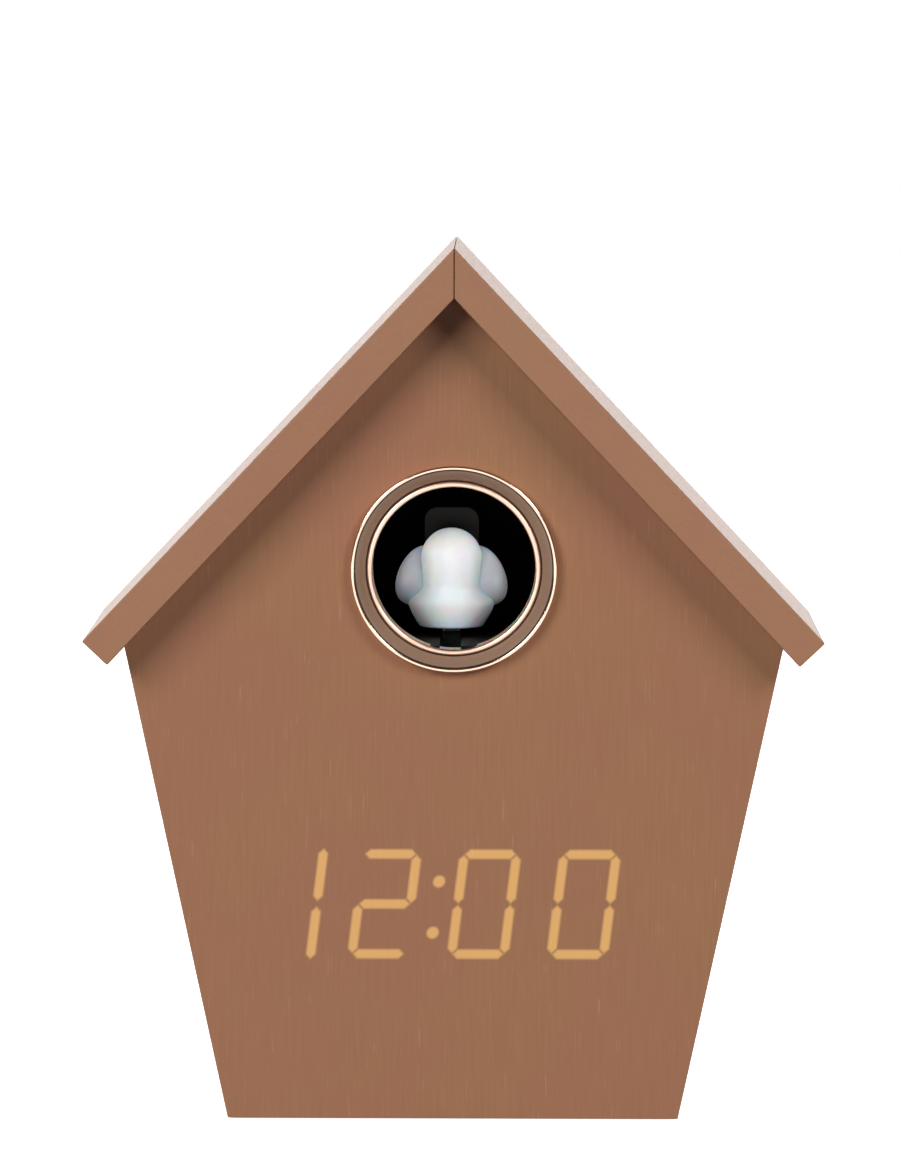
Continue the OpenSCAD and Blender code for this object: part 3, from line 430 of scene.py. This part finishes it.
def paperFinish(name):
    finish = Finish(name, gloss=0.2)
    pulp = finish.noise(1500, 4.0, (0, 0, 0), 0.7)
    finish.put("color", finish.mix(finish.step(pulp, 0.3, 0.75), tone(34, 33, 32),
                                   tone(62, 59, 56)))
    finish.put("rough", 0.86)
    finish.bump(pulp, 0.08 * mm, 0.6)
    return finish


# millimetres from the middle of the front and from the floor
timeDigits = {
    "middle": 50.5, "lean": math.tan(math.radians(7)), "first": -15.7, "pitch": 22.8,
    "high": 23.0, "wide": 12.0, "bar": 2.1, "levelBar": 11.5, "uprightBar": 11.0,
    "one": -31.15, "colon": -3.85, "colonUp": 5.9, "colonDrop": 0.7, "dot": 1.35,
    "oneBar": 11.9, "oneRise": 6.7, "soft": 0.42, "mitre": 0.7071,
    "glow": (0.40, 0.245, 0.062, 1.0), "dimmest": 0.93, "brushGain": 0.14,
}


def litTime(finish):
    # how much of the light behind comes through at each point: 1 inside a bar, 0 away from it
    d = timeDigits
    up = finish.axis("Z") / mm - d["middle"]
    over = finish.axis("X") / mm - up * d["lean"]

    def bar(across, along, length):
        far = (across - d["bar"] / 2).most((across + along - length / 2) * d["mitre"])
        return finish.step(far, d["soft"], -d["soft"])

    cell = finish.add("ShaderNodeMath", {"operation": "WRAP"},
                      {0: over - d["first"], 1: d["pitch"] / 2, 2: -d["pitch"] / 2})
    inRow = (over > d["first"] - d["pitch"] / 2) * (over < d["first"] + 2.5 * d["pitch"])
    isTwo = over < d["first"] + d["pitch"] / 2
    side, height = abs(cell), abs(up)
    level = bar(abs(height - d["high"] / 2), side, d["levelBar"])
    middle = bar(height, side, d["levelBar"]) * isTwo
    upright = bar(abs(side - d["wide"] / 2), abs(height - d["high"] / 4), d["uprightBar"])
    kept = (1 - isTwo).most((cell * up) > 0.0)
    digits = level.most(middle).most(upright * kept) * inRow
    one = bar(abs(over - d["one"]), abs(height - d["oneRise"]), d["oneBar"])
    dotX = over - d["colon"]
    dotZ = abs(up + d["colonDrop"]) - d["colonUp"]
    dots = finish.step(finish.reach(dotX, dotZ) - d["dot"], d["soft"], -d["soft"])
    return digits.most(one).most(dots)


def veneerFinish(name):
    finish = Finish(name, gloss=0.15, glowStrength=1.0)
    brush = brushSurface(finish)
    lit = litTime(finish) * (timeDigits["dimmest"] + brush * timeDigits["brushGain"])
    finish.put("glow", finish.mix(lit, (0.0, 0.0, 0.0, 1.0), timeDigits["glow"]))
    return finish


print("finishes")
frontLaminate = veneerFinish("front laminate")
wallLaminate = laminateFinish("wall laminate", "z", (7.3, 2.1, 1.2))
roofLaminate = laminateFinish("roof laminate", "y", (1.3, 5.2, 2.6))
boardEdge = cutEdgeFinish("laminated panel edge")
pine = pineFinish("pine block")
blackPlastic = plasticFinish("black cover plastic", tone(30, 30, 31), 0.5, 2400, 0.02)
boxPlastic = plasticFinish("battery box plastic", tone(26, 26, 27), 0.5, 1800, 0.02)
doorPlastic = plasticFinish("battery door plastic", tone(28, 28, 29), 0.46, 2400, 0.02)
framePlastic = plasticFinish("drive frame plastic", tone(92, 92, 90), 0.5, 2000, 0.02)
gearPlastic = plasticFinish("gear plastic", tone(232, 224, 198), 0.36, 3000, 0.006)
postPlastic = plasticFinish("bird post satin black", tone(30, 26, 23), 0.5, 2200, 0.006, 0.3)
switchPlastic = plasticFinish("switch plastic", tone(24, 24, 26), 0.42, 2600, 0.01)
chipPlastic = plasticFinish("chip black", tone(30, 30, 32), 0.55, 3600, 0.01)
housingPlastic = plasticFinish("display housing black", tone(22, 22, 23), 0.55, 2200, 0.015)
buttonPlastic = plasticFinish("button grey", tone(128, 128, 130), 0.42, 2600, 0.01)
knobPlastic = plasticFinish("switch knob black", tone(22, 22, 23), 0.4, 2600, 0.01)
inletPlastic = plasticFinish("power inlet black", tone(20, 20, 21), 0.4, 2600, 0.01)
redSleeve = plasticFinish("red lead sleeve", tone(168, 30, 24), 0.42, 1600, 0.01)
blackSleeve = plasticFinish("black lead sleeve", tone(26, 26, 27), 0.42, 1600, 0.01)
steel = metalFinish("zinc steel", tone(198, 198, 194), 0.3)
rodSteel = metalFinish("ground rod steel", tone(206, 206, 204), 0.2, "y", 5000, 0.002)
axleSteel = metalFinish("axle steel", tone(204, 204, 202), 0.22, "x", 5000, 0.002)
springSteel = metalFinish("nickel contact", tone(196, 190, 178), 0.26, "z", 2200, 0.003)
brass = metalFinish("cut brass", tone(214, 178, 104), 0.3, "x", 4200, 0.003)
motorCan = metalFinish("drawn motor can", tone(184, 184, 182), 0.34, "x", 3200, 0.004)
speakerSteel = metalFinish("pressed speaker steel", tone(140, 140, 142), 0.4, "z", 900, 0.01)
magnetSteel = metalFinish("magnet cup", tone(168, 168, 166), 0.36, "z", 1500, 0.005)
switchSteel = metalFinish("switch can", tone(190, 190, 188), 0.3, "x", 2600, 0.004)
rubber = rubberFinish("rubber foot")
roseMetal = roseMetalFinish("rose metal")
chamberBlack = chamberFinish("chamber black")
birdWhite = birdFinish("bird white", tone(232, 238, 255), tone(237, 242, 255))
# the wings get the bird's white painted greyer, as painted shade for lying deeper in the
# opening than the body
wingWhiteShaded = birdFinish("wing white", tone(190, 196, 206), tone(196, 202, 211))
boardGreen = boardFinish("circuit board green")
ribbonGrey = ribbonFinish("flat ribbon grey")
amberLight = glowFinish("amber light guide", tone(255, 190, 96), (0.9, 0.45, 0.1, 1.0))
pale = glowFinish("unlit diffuser", tone(214, 206, 186), (0.0, 0.0, 0.0, 1.0))
cellSleeve = cellFinish("backup cell sleeve")
conePaper = paperFinish("cone paper")

nodeFinishes = {
    "front_panel": boardEdge, "base_board": wallLaminate, "ridge_block": pine,
    "corner_blocks": pine, "bird_chamber": chamberBlack, "chamber_back": chamberBlack,
    "drive_frame": framePlastic, "module_screws": steel, "guide_rods": rodSteel,
    "gear_axles": axleSteel, "carriage": knobPlastic, "bird_post": postPlastic,
    "rack_gear": gearPlastic, "compound_gear": gearPlastic, "motor_pinion": brass,
    "motor_shaft": axleSteel, "gearhead": brass, "motor": motorCan,
    "home_switch": switchPlastic, "display_housing": housingPlastic,
    "segments_lit": amberLight, "segments_unlit": pale, "display_board": boardGreen,
    "display_screws": steel, "display_ribbon": ribbonGrey, "main_board": boardGreen,
    "board_parts": chipPlastic, "board_screws": steel, "button_switches": switchPlastic,
    "slide_switch": switchSteel, "power_inlet": inletPlastic, "speaker_frame": speakerSteel,
    "speaker_cone": conePaper, "speaker_magnet": magnetSteel, "battery_box": boxPlastic,
    "battery_contacts": springSteel, "backup_cells": cellSleeve, "motor_leads": redSleeve,
    "speaker_leads": blackSleeve, "battery_leads": redSleeve,
}


def dress(piece, finish):
    piece.data.materials.clear()
    piece.data.materials.append(finish.material)


for nodeName, finish in nodeFinishes.items():
    dress(cadNodes[nodeName], finish)


def newPiece(name, mesh, finish, body, slotName, *stoodFor):
    data = bpy.data.meshes.new(name)
    mesh.to_mesh(data)
    mesh.free()
    piece = bpy.data.objects.new(name, data)
    bpy.context.scene.collection.objects.link(piece)
    dress(piece, finish)
    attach(piece, body)
    if stoodFor:
        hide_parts(*stoodFor)
    return piece


def smoothOver(mesh, angle=32):
    # smooth everywhere but at edges that turn by more than the angle
    limit = math.radians(angle)
    for face in mesh.faces:
        face.smooth = True
    for edge in mesh.edges:
        edge.smooth = not edge.is_manifold or edge.calc_face_angle(0) < limit


weld, turnedWeld, flatAngle = 0.002 * mm, 0.001 * mm, math.radians(0.4)


def mergedCopy(nodeName):
    # the CAD piece again, as one joined skin of whole faces
    mesh = bmesh.new()
    mesh.from_mesh(cadNodes[nodeName].data)
    bmesh.ops.remove_doubles(mesh, verts=mesh.verts, dist=weld)
    bmesh.ops.dissolve_limit(mesh, angle_limit=flatAngle, verts=mesh.verts, edges=mesh.edges)
    return mesh


def sharpEdges(mesh, chosen=None, angle=35):
    limit = math.radians(angle)
    return [edge for edge in mesh.edges
            if edge.is_manifold and edge.calc_face_angle(0) > limit
            and (chosen is None or chosen(edge))]


def edgesOf(points):
    # each edge once, in the same order every time
    return list(dict.fromkeys(edge for point in points for edge in point.link_edges))


def softenEdges(mesh, edges, width, segments=3):
    bmesh.ops.bevel(mesh, geom=edges, offset=width, offset_type="OFFSET", affect="EDGES",
                    segments=segments, profile=0.5, material=-1, clamp_overlap=True)


def turnRound(mesh, centre, axis, steps):
    # an outline spun once about the axis, as on a lathe
    bmesh.ops.spin(mesh, geom=mesh.verts[:] + mesh.edges[:], cent=centre, axis=axis,
                   angle=2 * math.pi, steps=steps, use_merge=True)
    bmesh.ops.remove_doubles(mesh, verts=mesh.verts, dist=turnedWeld)
    bmesh.ops.recalc_face_normals(mesh, faces=mesh.faces)


def evenShading(piece):
    weigh = piece.modifiers.new("evenShading", "WEIGHTED_NORMAL")
    weigh.mode = "FACE_AREA"
    weigh.weight = 60
    weigh.keep_sharp = True


def softPiece(name, nodeName, width, finish, body, slotName, segments=3, chosen=None):
    mesh = mergedCopy(nodeName)
    softenEdges(mesh, sharpEdges(mesh, chosen), width, segments)
    smoothOver(mesh)
    piece = newPiece(name, mesh, finish, body, slotName, nodeName)
    evenShading(piece)
    return piece


print("case")
caseEdges = {"roof": 0.35 * mm, "wall": 0.5 * mm, "corner": 0.7 * mm, "veneer": 0.22 * mm,
             "wallBack": 44 * mm}

for side in ("left", "right"):
    softPiece(f"roofBoard.{side}", f"roof_{side}", caseEdges["roof"], roofLaminate, "case",
              "veneer_roof")
    softPiece(f"sideWall.{side}", f"{side}_wall", caseEdges["wall"], wallLaminate, "case",
              "veneer_side", 3,
              lambda edge: max(v.co.y for v in edge.verts) > caseEdges["wallBack"])


def frontVeneer():
    mesh = mergedCopy("front_veneer")
    front = min(v.co.y for v in mesh.verts)
    bottom = min(v.co.z for v in mesh.verts)
    corners = [e for e in sharpEdges(mesh)
               if all(v.co.z < bottom + 0.01 * mm for v in e.verts)
               and abs(e.verts[0].co.y - e.verts[1].co.y) > 0.1 * mm]
    softenEdges(mesh, corners, caseEdges["corner"], 5)
    rims = [e for e in sharpEdges(mesh) if all(v.co.y < front + 0.01 * mm for v in e.verts)]
    softenEdges(mesh, rims, caseEdges["veneer"], 2)
    smoothOver(mesh)
    piece = newPiece("frontVeneer", mesh, frontLaminate, "case", "veneer", "front_veneer")
    evenShading(piece)


frontVeneer()

print("ring")
ringShape = {
    "rim": 23.5, "bore": 18.6, "spigot": 21.4, "proud": 3.0, "beadWide": 0.8,
    "innerWide": 1.3, "innerTop": 0.05, "groove": 0.16,
    # how deep the grooves beside the two beads are, and where the cone starts and ends
    "beadDeep": 0.75, "coneFront": 0.5, "innerDeep": 0.9, "coneBack": 0.45,
    "turnSteps": 160, "smallRounding": 0.2,
}


def bezelRing():
    low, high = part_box("bezel_ring")
    s = ringShape
    face = low.y / mm + s["proud"]
    bead, inner = s["rim"] - s["beadWide"], s["bore"] + s["innerWide"]
    back = high.y / mm - face
    front, top = -s["proud"], s["innerTop"]
    outerWall, innerWall = bead - s["groove"], inner + s["groove"]
    # radius, depth behind the veneer, and how much each corner is rounded
    outline = [
        (s["spigot"], 0.0, 0), (s["rim"], 0.0, 0.08), (s["rim"], front, 0.3),
        (bead, front, 0.3), (bead, front + s["beadDeep"], 0),
        (outerWall, front + s["beadDeep"], 0), (outerWall, front + s["coneFront"], 0.05),
        (innerWall, top + s["coneBack"], 0.05), (innerWall, top + s["innerDeep"], 0),
        (inner, top + s["innerDeep"], 0), (inner, top, 0.6), (s["bore"], top, 0.6),
        (s["bore"], back, 0.1), (s["spigot"], back, 0.2),
    ]
    mesh = bmesh.new()
    level = (low.z + high.z) / 2
    spots = [mesh.verts.new((r * mm, (face + d) * mm, level)) for r, d, rounding in outline]
    for a, b in zip(spots, spots[1:] + spots[:1]):
        mesh.edges.new((a, b))
    for spot, (r, d, rounding) in zip(spots, outline):
        if rounding:
            segments = 6 if rounding > s["smallRounding"] else 2
            bmesh.ops.bevel(mesh, geom=[spot], offset=rounding * mm, offset_type="OFFSET",
                            affect="VERTICES", segments=segments,
                            profile=0.5, material=-1, clamp_overlap=True)
    turnRound(mesh, (0, 0, level), (0, 1, 0), s["turnSteps"])
    smoothOver(mesh, 40)
    newPiece("bezelRing", mesh, roseMetal, "case", "rose_metal", "bezel_ring")


bezelRing()

print("bird")
birdShape = {
    "headRadius": 7.1, "bellyRadius": 10.0, "baseRadius": 7.5, "bellyAt": 5.3, "neckAt": 10.0,
    "frontSwell": 0.3, "tabWide": 4.1, "tabDeep": 3.0, "tabHigh": 1.4, "tabSunk": 0.6,
    "tabEdge": 0.25, "underEdge": ((0.9, 0), (0.3, 0.12), (0, 0.4)), "rings": 12,
    "turnSteps": 96, "smoothTo": 60,
    "wingRadius": 7.2, "wingUp": 11.5, "wingSag": 0.34, "wingBack": 2.8, "wingSpan": 26.3,
    "wingThin": 0.8,
}


def birdBody():
    low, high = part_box("bird_body")
    s = birdShape
    centreX = (low.x + high.x) / 2
    base = low.z + s["tabHigh"] * mm
    top = high.z - base
    head = top - s["headRadius"] * mm
    # radius and height of the rings that the skin is drawn through, from the underside up
    outline = [(0, 0)] + [(s["baseRadius"] - cut, up) for cut, up in s["underEdge"]]
    start = outline[-1][1]
    steps = s["rings"]
    for i in range(1, steps + 1):
        part = (i / steps + math.sin(math.pi / 2 * i / steps)) / 2
        outline.append((s["baseRadius"] + (s["bellyRadius"] - s["baseRadius"]) * part,
                        start + (s["bellyAt"] - start) * i / steps))
    for i in range(1, steps + 1):
        part = (1 + math.cos(math.pi * i / steps)) / 2
        outline.append((s["headRadius"] + (s["bellyRadius"] - s["headRadius"]) * part,
                        s["bellyAt"] + (s["neckAt"] - s["bellyAt"]) * i / steps))
    outline.append((s["headRadius"], head / mm))
    for i in range(1, steps):
        angle = math.pi / 2 * i / steps
        outline.append((s["headRadius"] * math.cos(angle),
                        head / mm + s["headRadius"] * math.sin(angle)))
    outline.append((0, top / mm))
    mesh = bmesh.new()
    centreY = birdMiddle()
    spots = [mesh.verts.new((centreX + r * mm, centreY, base + h * mm)) for r, h in outline]
    for a, b in zip(spots, spots[1:]):
        mesh.edges.new((a, b))
    turnRound(mesh, (centreX, centreY, 0), (0, 0, 1), s["turnSteps"])
    # the lower part swells to the sides and stays nearly flat in front
    for vert in mesh.verts:
        wide = math.hypot(vert.co.x - centreX, vert.co.y - centreY) / mm
        if wide > s["headRadius"]:
            kept = s["headRadius"] + s["frontSwell"] * (wide - s["headRadius"])
            vert.co.y = centreY + (vert.co.y - centreY) * kept / wide
    tabTall = (s["tabHigh"] + s["tabSunk"]) * mm
    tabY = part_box("carriage")[0].y + s["tabDeep"] / 2 * mm
    tab = bmesh.ops.create_cube(mesh, size=1.0)["verts"]
    bmesh.ops.scale(mesh, vec=(s["tabWide"] * mm, s["tabDeep"] * mm, tabTall), verts=tab)
    bmesh.ops.translate(mesh, vec=(centreX, tabY, low.z + tabTall / 2), verts=tab)
    softenEdges(mesh, edgesOf(tab), s["tabEdge"] * mm, 2)
    smoothOver(mesh, s["smoothTo"])
    newPiece("birdBody", mesh, birdWhite, "bird", "bird_white", "bird_body")


def birdMiddle():
    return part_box("bird_body")[1].y - birdShape["bellyRadius"] * mm


def birdWings():
    low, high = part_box("bird_body")
    s = birdShape
    centreX = (low.x + high.x) / 2
    radius = s["wingRadius"] * mm
    mesh = bmesh.new()
    for side in (-1, 1):
        lobe = bmesh.ops.create_uvsphere(mesh, u_segments=32, v_segments=20,
                                         radius=radius)["verts"]
        for vert in lobe:
            rise = vert.co.z / radius
            vert.co.z -= s["wingSag"] * radius * (1 - rise * rise)
            vert.co.y *= s["wingThin"]
        bmesh.ops.translate(mesh, verts=lobe, vec=(
            centreX + side * (s["wingSpan"] / 2 * mm - radius),
            birdMiddle() + s["wingBack"] * mm,
            low.z + (s["tabHigh"] + s["wingUp"]) * mm))
    bmesh.ops.recalc_face_normals(mesh, faces=mesh.faces)
    smoothOver(mesh, s["smoothTo"])
    # the wings take the grey of painted shade, not the body's white
    piece = newPiece("birdWings", mesh, wingWhiteShaded, "bird", "bird_white", "bird_wings")
    rounding = piece.modifiers.new("rounding", "SUBSURF")
    rounding.levels = rounding.render_levels = 1


birdBody()
birdWings()

print("back")
backShape = {
    "cover": 0.3 * mm, "door": 0.25 * mm, "button": 0.4 * mm, "knob": 0.3 * mm,
    "foot": 0.4 * mm, "outside": 41.9 * mm,
    # the thumb grip on the door
    "ridges": 7, "ridgePitch": 1.6, "ridgeHigh": 0.35, "ridgeWide": 11, "ridgeThick": 0.7,
    "ridgeDrop": 5.5, "ridgeEdge": 0.2,
}


def isOutside(edge):
    return all(v.co.y > backShape["outside"] for v in edge.verts)


softPiece("backCover", "back_cover", backShape["cover"], blackPlastic, "case", "black_plastic",
          2, isOutside)
for place in ("left", "middle", "right"):
    softPiece(f"setButton.{place}", f"button_{place}", backShape["button"], buttonPlastic,
              f"button_{place}", "button_grey", 4)
softPiece("footPads", "feet", backShape["foot"], rubber, "case", "rubber_foot", 4)


def batteryDoor():
    s = backShape
    mesh = mergedCopy("battery_door")
    softenEdges(mesh, sharpEdges(mesh, isOutside), s["door"], 2)
    low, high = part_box("battery_door")
    middle = (low.x + high.x) / 2
    for i in range(s["ridges"]):
        ridge = bmesh.ops.create_cube(mesh, size=1.0)["verts"]
        bmesh.ops.scale(mesh, verts=ridge, vec=(
            s["ridgeWide"] * mm, 2 * s["ridgeHigh"] * mm, s["ridgeThick"] * mm))
        bmesh.ops.translate(mesh, verts=ridge, vec=(
            middle, high.y, high.z - (s["ridgeDrop"] + i * s["ridgePitch"]) * mm))
        softenEdges(mesh, edgesOf(ridge), s["ridgeEdge"] * mm, 2)
    smoothOver(mesh)
    piece = newPiece("batteryDoor", mesh, doorPlastic, "battery_door", "black_plastic",
                     "battery_door")
    evenShading(piece)


batteryDoor()
softPiece("switchKnob", "slide_knob", backShape["knob"], knobPlastic, "slide_knob",
          "black_plastic")

screwShape = {
    "head": 2.8, "headHigh": 1.54, "shank": 1.4, "long": 10.5, "tip": 1.0, "point": 0.35,
    "slotLong": 3.2, "slotWide": 0.8, "slotDeep": 0.9, "slotTaper": 0.75, "dome": 0.45,
    "crown": 0.78, "sides": 32, "firstTurn": 0.5, "turnStep": 1.13,
}


def coverScrews():
    # pan heads with a cross recess, standing in the cover's holes
    s = screwShape
    source = bmesh.new()
    source.from_mesh(cadNodes["cover_screws"].data)
    bmesh.ops.remove_doubles(source, verts=source.verts, dist=weld)
    places = []
    left = set(source.verts)
    while left:
        group, waiting = set(), [left.pop()]
        while waiting:
            vert = waiting.pop()
            group.add(vert)
            for link in vert.link_edges:
                other = link.other_vert(vert)
                if other in left:
                    left.discard(other)
                    waiting.append(other)
        xs, ys, zs = zip(*(v.co for v in group))
        places.append(((min(xs) + max(xs)) / 2, max(ys), (min(zs) + max(zs)) / 2))
    source.free()
    mesh = bmesh.new()
    for number, place in enumerate(sorted(places)):
        made = screwAt(mesh)
        turn = Matrix.Rotation(s["firstTurn"] + number * s["turnStep"], 4, "Y")
        bmesh.ops.transform(mesh, matrix=Matrix.Translation(place) @ turn, verts=made)
    bmesh.ops.recalc_face_normals(mesh, faces=mesh.faces)
    smoothOver(mesh, 35)
    newPiece("coverScrews", mesh, steel, "case", "steel", "cover_screws")


def extruded(mesh, edges):
    # the new loop's points and the edges between them
    made = bmesh.ops.extrude_edge_only(mesh, edges=edges)["geom"]
    points = [g for g in made if isinstance(g, bmesh.types.BMVert)]
    lines = [g for g in made if isinstance(g, bmesh.types.BMEdge)
             and all(v in points for v in g.verts)]
    return points, lines


def screwAt(mesh):
    # built at the origin with its top face at y 0 and its shank towards -Y
    s = screwShape
    before = set(mesh.verts)
    angles = [math.radians(360 * i / s["sides"]) for i in range(s["sides"])]
    rim = [mesh.verts.new((s["head"] * mm * math.cos(a), -s["dome"] * mm,
                           s["head"] * mm * math.sin(a))) for a in angles]
    rimEdges = [mesh.edges.new((a, b)) for a, b in zip(rim, rim[1:] + rim[:1])]
    topVerts, topEdges = extruded(mesh, rimEdges)
    bmesh.ops.translate(mesh, verts=topVerts, vec=(0, s["dome"] * mm, 0))
    bmesh.ops.scale(mesh, verts=topVerts, vec=(s["crown"], 1, s["crown"]))
    long, wide = s["slotLong"] / 2 * mm, s["slotWide"] / 2 * mm
    outline = []
    for i in range(4):
        spin = Matrix.Rotation(i * math.pi / 2, 3, "Y")
        outline += [spin @ Vector(p) for p in ((long, 0, -wide), (long, 0, wide),
                                               (wide, 0, wide))]
    order = sorted(outline, key=lambda p: math.atan2(p.z, p.x))
    cross = [mesh.verts.new(p) for p in order]
    crossEdges = [mesh.edges.new((a, b)) for a, b in zip(cross, cross[1:] + cross[:1])]
    bmesh.ops.bridge_loops(mesh, edges=topEdges + crossEdges)
    sunkVerts = extruded(mesh, crossEdges)[0]
    bmesh.ops.translate(mesh, verts=sunkVerts, vec=(0, -s["slotDeep"] * mm, 0))
    bmesh.ops.scale(mesh, verts=sunkVerts, vec=(s["slotTaper"], 1, s["slotTaper"]))
    bmesh.ops.contextual_create(mesh, geom=sunkVerts)
    level, loop = rimEdges, None
    for drop, radius in ((s["headHigh"] - s["dome"], s["head"]), (0, s["shank"]),
                         (s["long"] - s["tip"], s["shank"]),
                         (s["tip"], s["shank"] * s["point"])):
        loop, level = extruded(mesh, level)
        bmesh.ops.translate(mesh, verts=loop, vec=(0, -drop * mm, 0))
        now = max(math.hypot(v.co.x, v.co.z) for v in loop)
        bmesh.ops.scale(mesh, verts=loop, vec=(radius * mm / now, 1, radius * mm / now))
    bmesh.ops.contextual_create(mesh, geom=loop)
    return [v for v in mesh.verts if v not in before]


coverScrews()

print("studio")
studio = {
    "floorTone": (0.9, 0.9, 0.9, 1.0), "floorPale": (0.94, 0.94, 0.94, 1.0),
    "floorGlow": 1.0, "floorSize": 12.0, "worldTone": (1.0, 1.0, 1.0, 1.0),
    "worldStrength": 1.0, "aim": (0.0, -0.033, 0.125), "slope": 46.7,
    # direction to each light from the aim, how far, its power, its length and width, and
    # which way its long side leans, by the slope in degrees
    "lights": {
        "keyLeft": ((-0.61, -1.0, 0.49), 4.0, 116.0, 2.2, 1.3, -1),
        "keyRight": ((0.71, -1.0, 0.60), 4.0, 79.0, 1.8, 1.0, 1),
        "frontFill": ((0.05, -1.0, 0.02), 4.0, 4.0, 1.2, 1.2, 1),
        "backLeft": ((-0.8, 1.0, 0.7), 1.6, 9.0, 0.9, 0.9, 1),
        "backRight": ((0.9, 1.0, 0.6), 1.6, 7.0, 0.9, 0.9, -1),
        "sideLeft": ((-1.0, 0.15, 0.3), 1.6, 4.0, 0.8, 0.8, 1),
        "sideRight": ((1.0, 0.15, 0.3), 1.6, 4.0, 0.8, 0.8, 1),
    },
    # a bright wall that only shows in the sheen of what faces it
    "wall": ((0.0, 1.0, 0.12), 2.0, 50.0, 3.2, 2.6, 1),
    # narrow beams for the bird alone
    "birdLights": {"beams": (((-1.0, -1.3, 0.8), 34.0), ((1.0, -1.3, 0.8), 34.0),
                             ((-1.6, -0.6, 0.45), 66.0), ((1.6, -0.6, 0.45), 68.0)),
                   "aim": (-0.0008, 0.0, 0.1342), "cone": 1.42, "radius": 0.012},
}


def studioFloor():
    mesh = bmesh.new()
    bmesh.ops.create_grid(mesh, x_segments=2, y_segments=2, size=studio["floorSize"] / 2)
    data = bpy.data.meshes.new("studioFloor")
    mesh.to_mesh(data)
    mesh.free()
    floor = bpy.data.objects.new("studioFloor", data)
    bpy.context.scene.collection.objects.link(floor)
    finish = Finish("studio floor", gloss=0.0, rough=1.0, glowStrength=studio["floorGlow"],
                    glow=studio["worldTone"])
    cloud = finish.noise(4, 2.0)
    finish.put("color", finish.mix(cloud, studio["floorTone"], studio["floorPale"]))
    dress(floor, finish)
    floor.visible_diffuse = False


def softLight(name, towards, far, power, long, wide, lean):
    data = bpy.data.lights.new(name, "AREA")
    data.shape = "RECTANGLE"
    data.size, data.size_y = long, wide
    data.energy = power
    light = bpy.data.objects.new(name, data)
    out = Vector(towards).normalized()
    slope = math.radians(studio["slope"])
    tilt = Vector((lean * math.sin(slope), 0, math.cos(slope)))
    along = (tilt - out * tilt.dot(out)).normalized()
    turn = Matrix((along, out.cross(along), out)).transposed().to_4x4()
    light.matrix_world = Matrix.Translation(Vector(studio["aim"]) + out * far) @ turn
    light.visible_camera = False
    bpy.context.scene.collection.objects.link(light)
    return light


def birdLights():
    # they light and are shaded by nothing but the bird
    s = studio["birdLights"]
    linked = bpy.data.collections.new("birdPieces")
    for name in ("birdBody", "birdWings"):
        linked.objects.link(bpy.data.objects[name])
    for number, (place, power) in enumerate(s["beams"]):
        data = bpy.data.lights.new(f"birdLight.{number}", "SPOT")
        data.energy = power
        data.spot_size = math.radians(s["cone"])
        data.spot_blend = 1.0
        data.shadow_soft_size = s["radius"]
        light = bpy.data.objects.new(data.name, data)
        light.location = place
        aim = Vector(s["aim"]) - Vector(place)
        light.rotation_euler = aim.to_track_quat("-Z", "Y").to_euler()
        light.light_linking.receiver_collection = linked
        light.light_linking.blocker_collection = linked
        bpy.context.scene.collection.objects.link(light)


studioFloor()
for name, settings in studio["lights"].items():
    softLight(name, *settings)
softLight("sheenWall", *studio["wall"]).visible_diffuse = False
birdLights()


def plainWorld():
    world = bpy.data.worlds.new("studio")
    bpy.context.scene.world = world
    world.use_nodes = True
    background = world.node_tree.nodes["Background"]
    background.inputs["Color"].default_value = studio["worldTone"]
    background.inputs["Strength"].default_value = studio["worldStrength"]
    # it fills the empty parts of the view and lights nothing
    world.cycles_visibility.diffuse = False
    world.cycles_visibility.glossy = False


plainWorld()
bpy.context.scene.view_settings.view_transform = "Standard"

# millimetres, degrees, and the lens in millimetres on a sensor 36 wide
view = {"place": (11.73, -1749.50, 255.52), "pitch": 4.4127, "yaw": 0.4207, "roll": 0.1292,
        "lens": 231.07, "sensor": 36.0, "near": 0.1, "far": 50.0}


def viewCamera():
    pitch, yaw, roll = (math.radians(view[word]) for word in ("pitch", "yaw", "roll"))
    forward = Vector((-math.sin(yaw) * math.cos(pitch), math.cos(yaw) * math.cos(pitch),
                      -math.sin(pitch)))
    level = forward.cross(Vector((0, 0, 1))).normalized()
    upright = level.cross(forward)
    right = level * math.cos(roll) + upright * math.sin(roll)
    above = upright * math.cos(roll) - level * math.sin(roll)
    turn = Matrix((right, above, -forward)).transposed().to_4x4()
    data = bpy.data.cameras.new("viewCamera")
    data.lens = view["lens"]
    data.sensor_width = view["sensor"]
    data.clip_start, data.clip_end = view["near"], view["far"]
    camera = bpy.data.objects.new("viewCamera", data)
    camera.matrix_world = Matrix.Translation(Vector(view["place"]) * mm) @ turn
    bpy.context.scene.collection.objects.link(camera)
    bpy.context.scene.camera = camera


viewCamera()
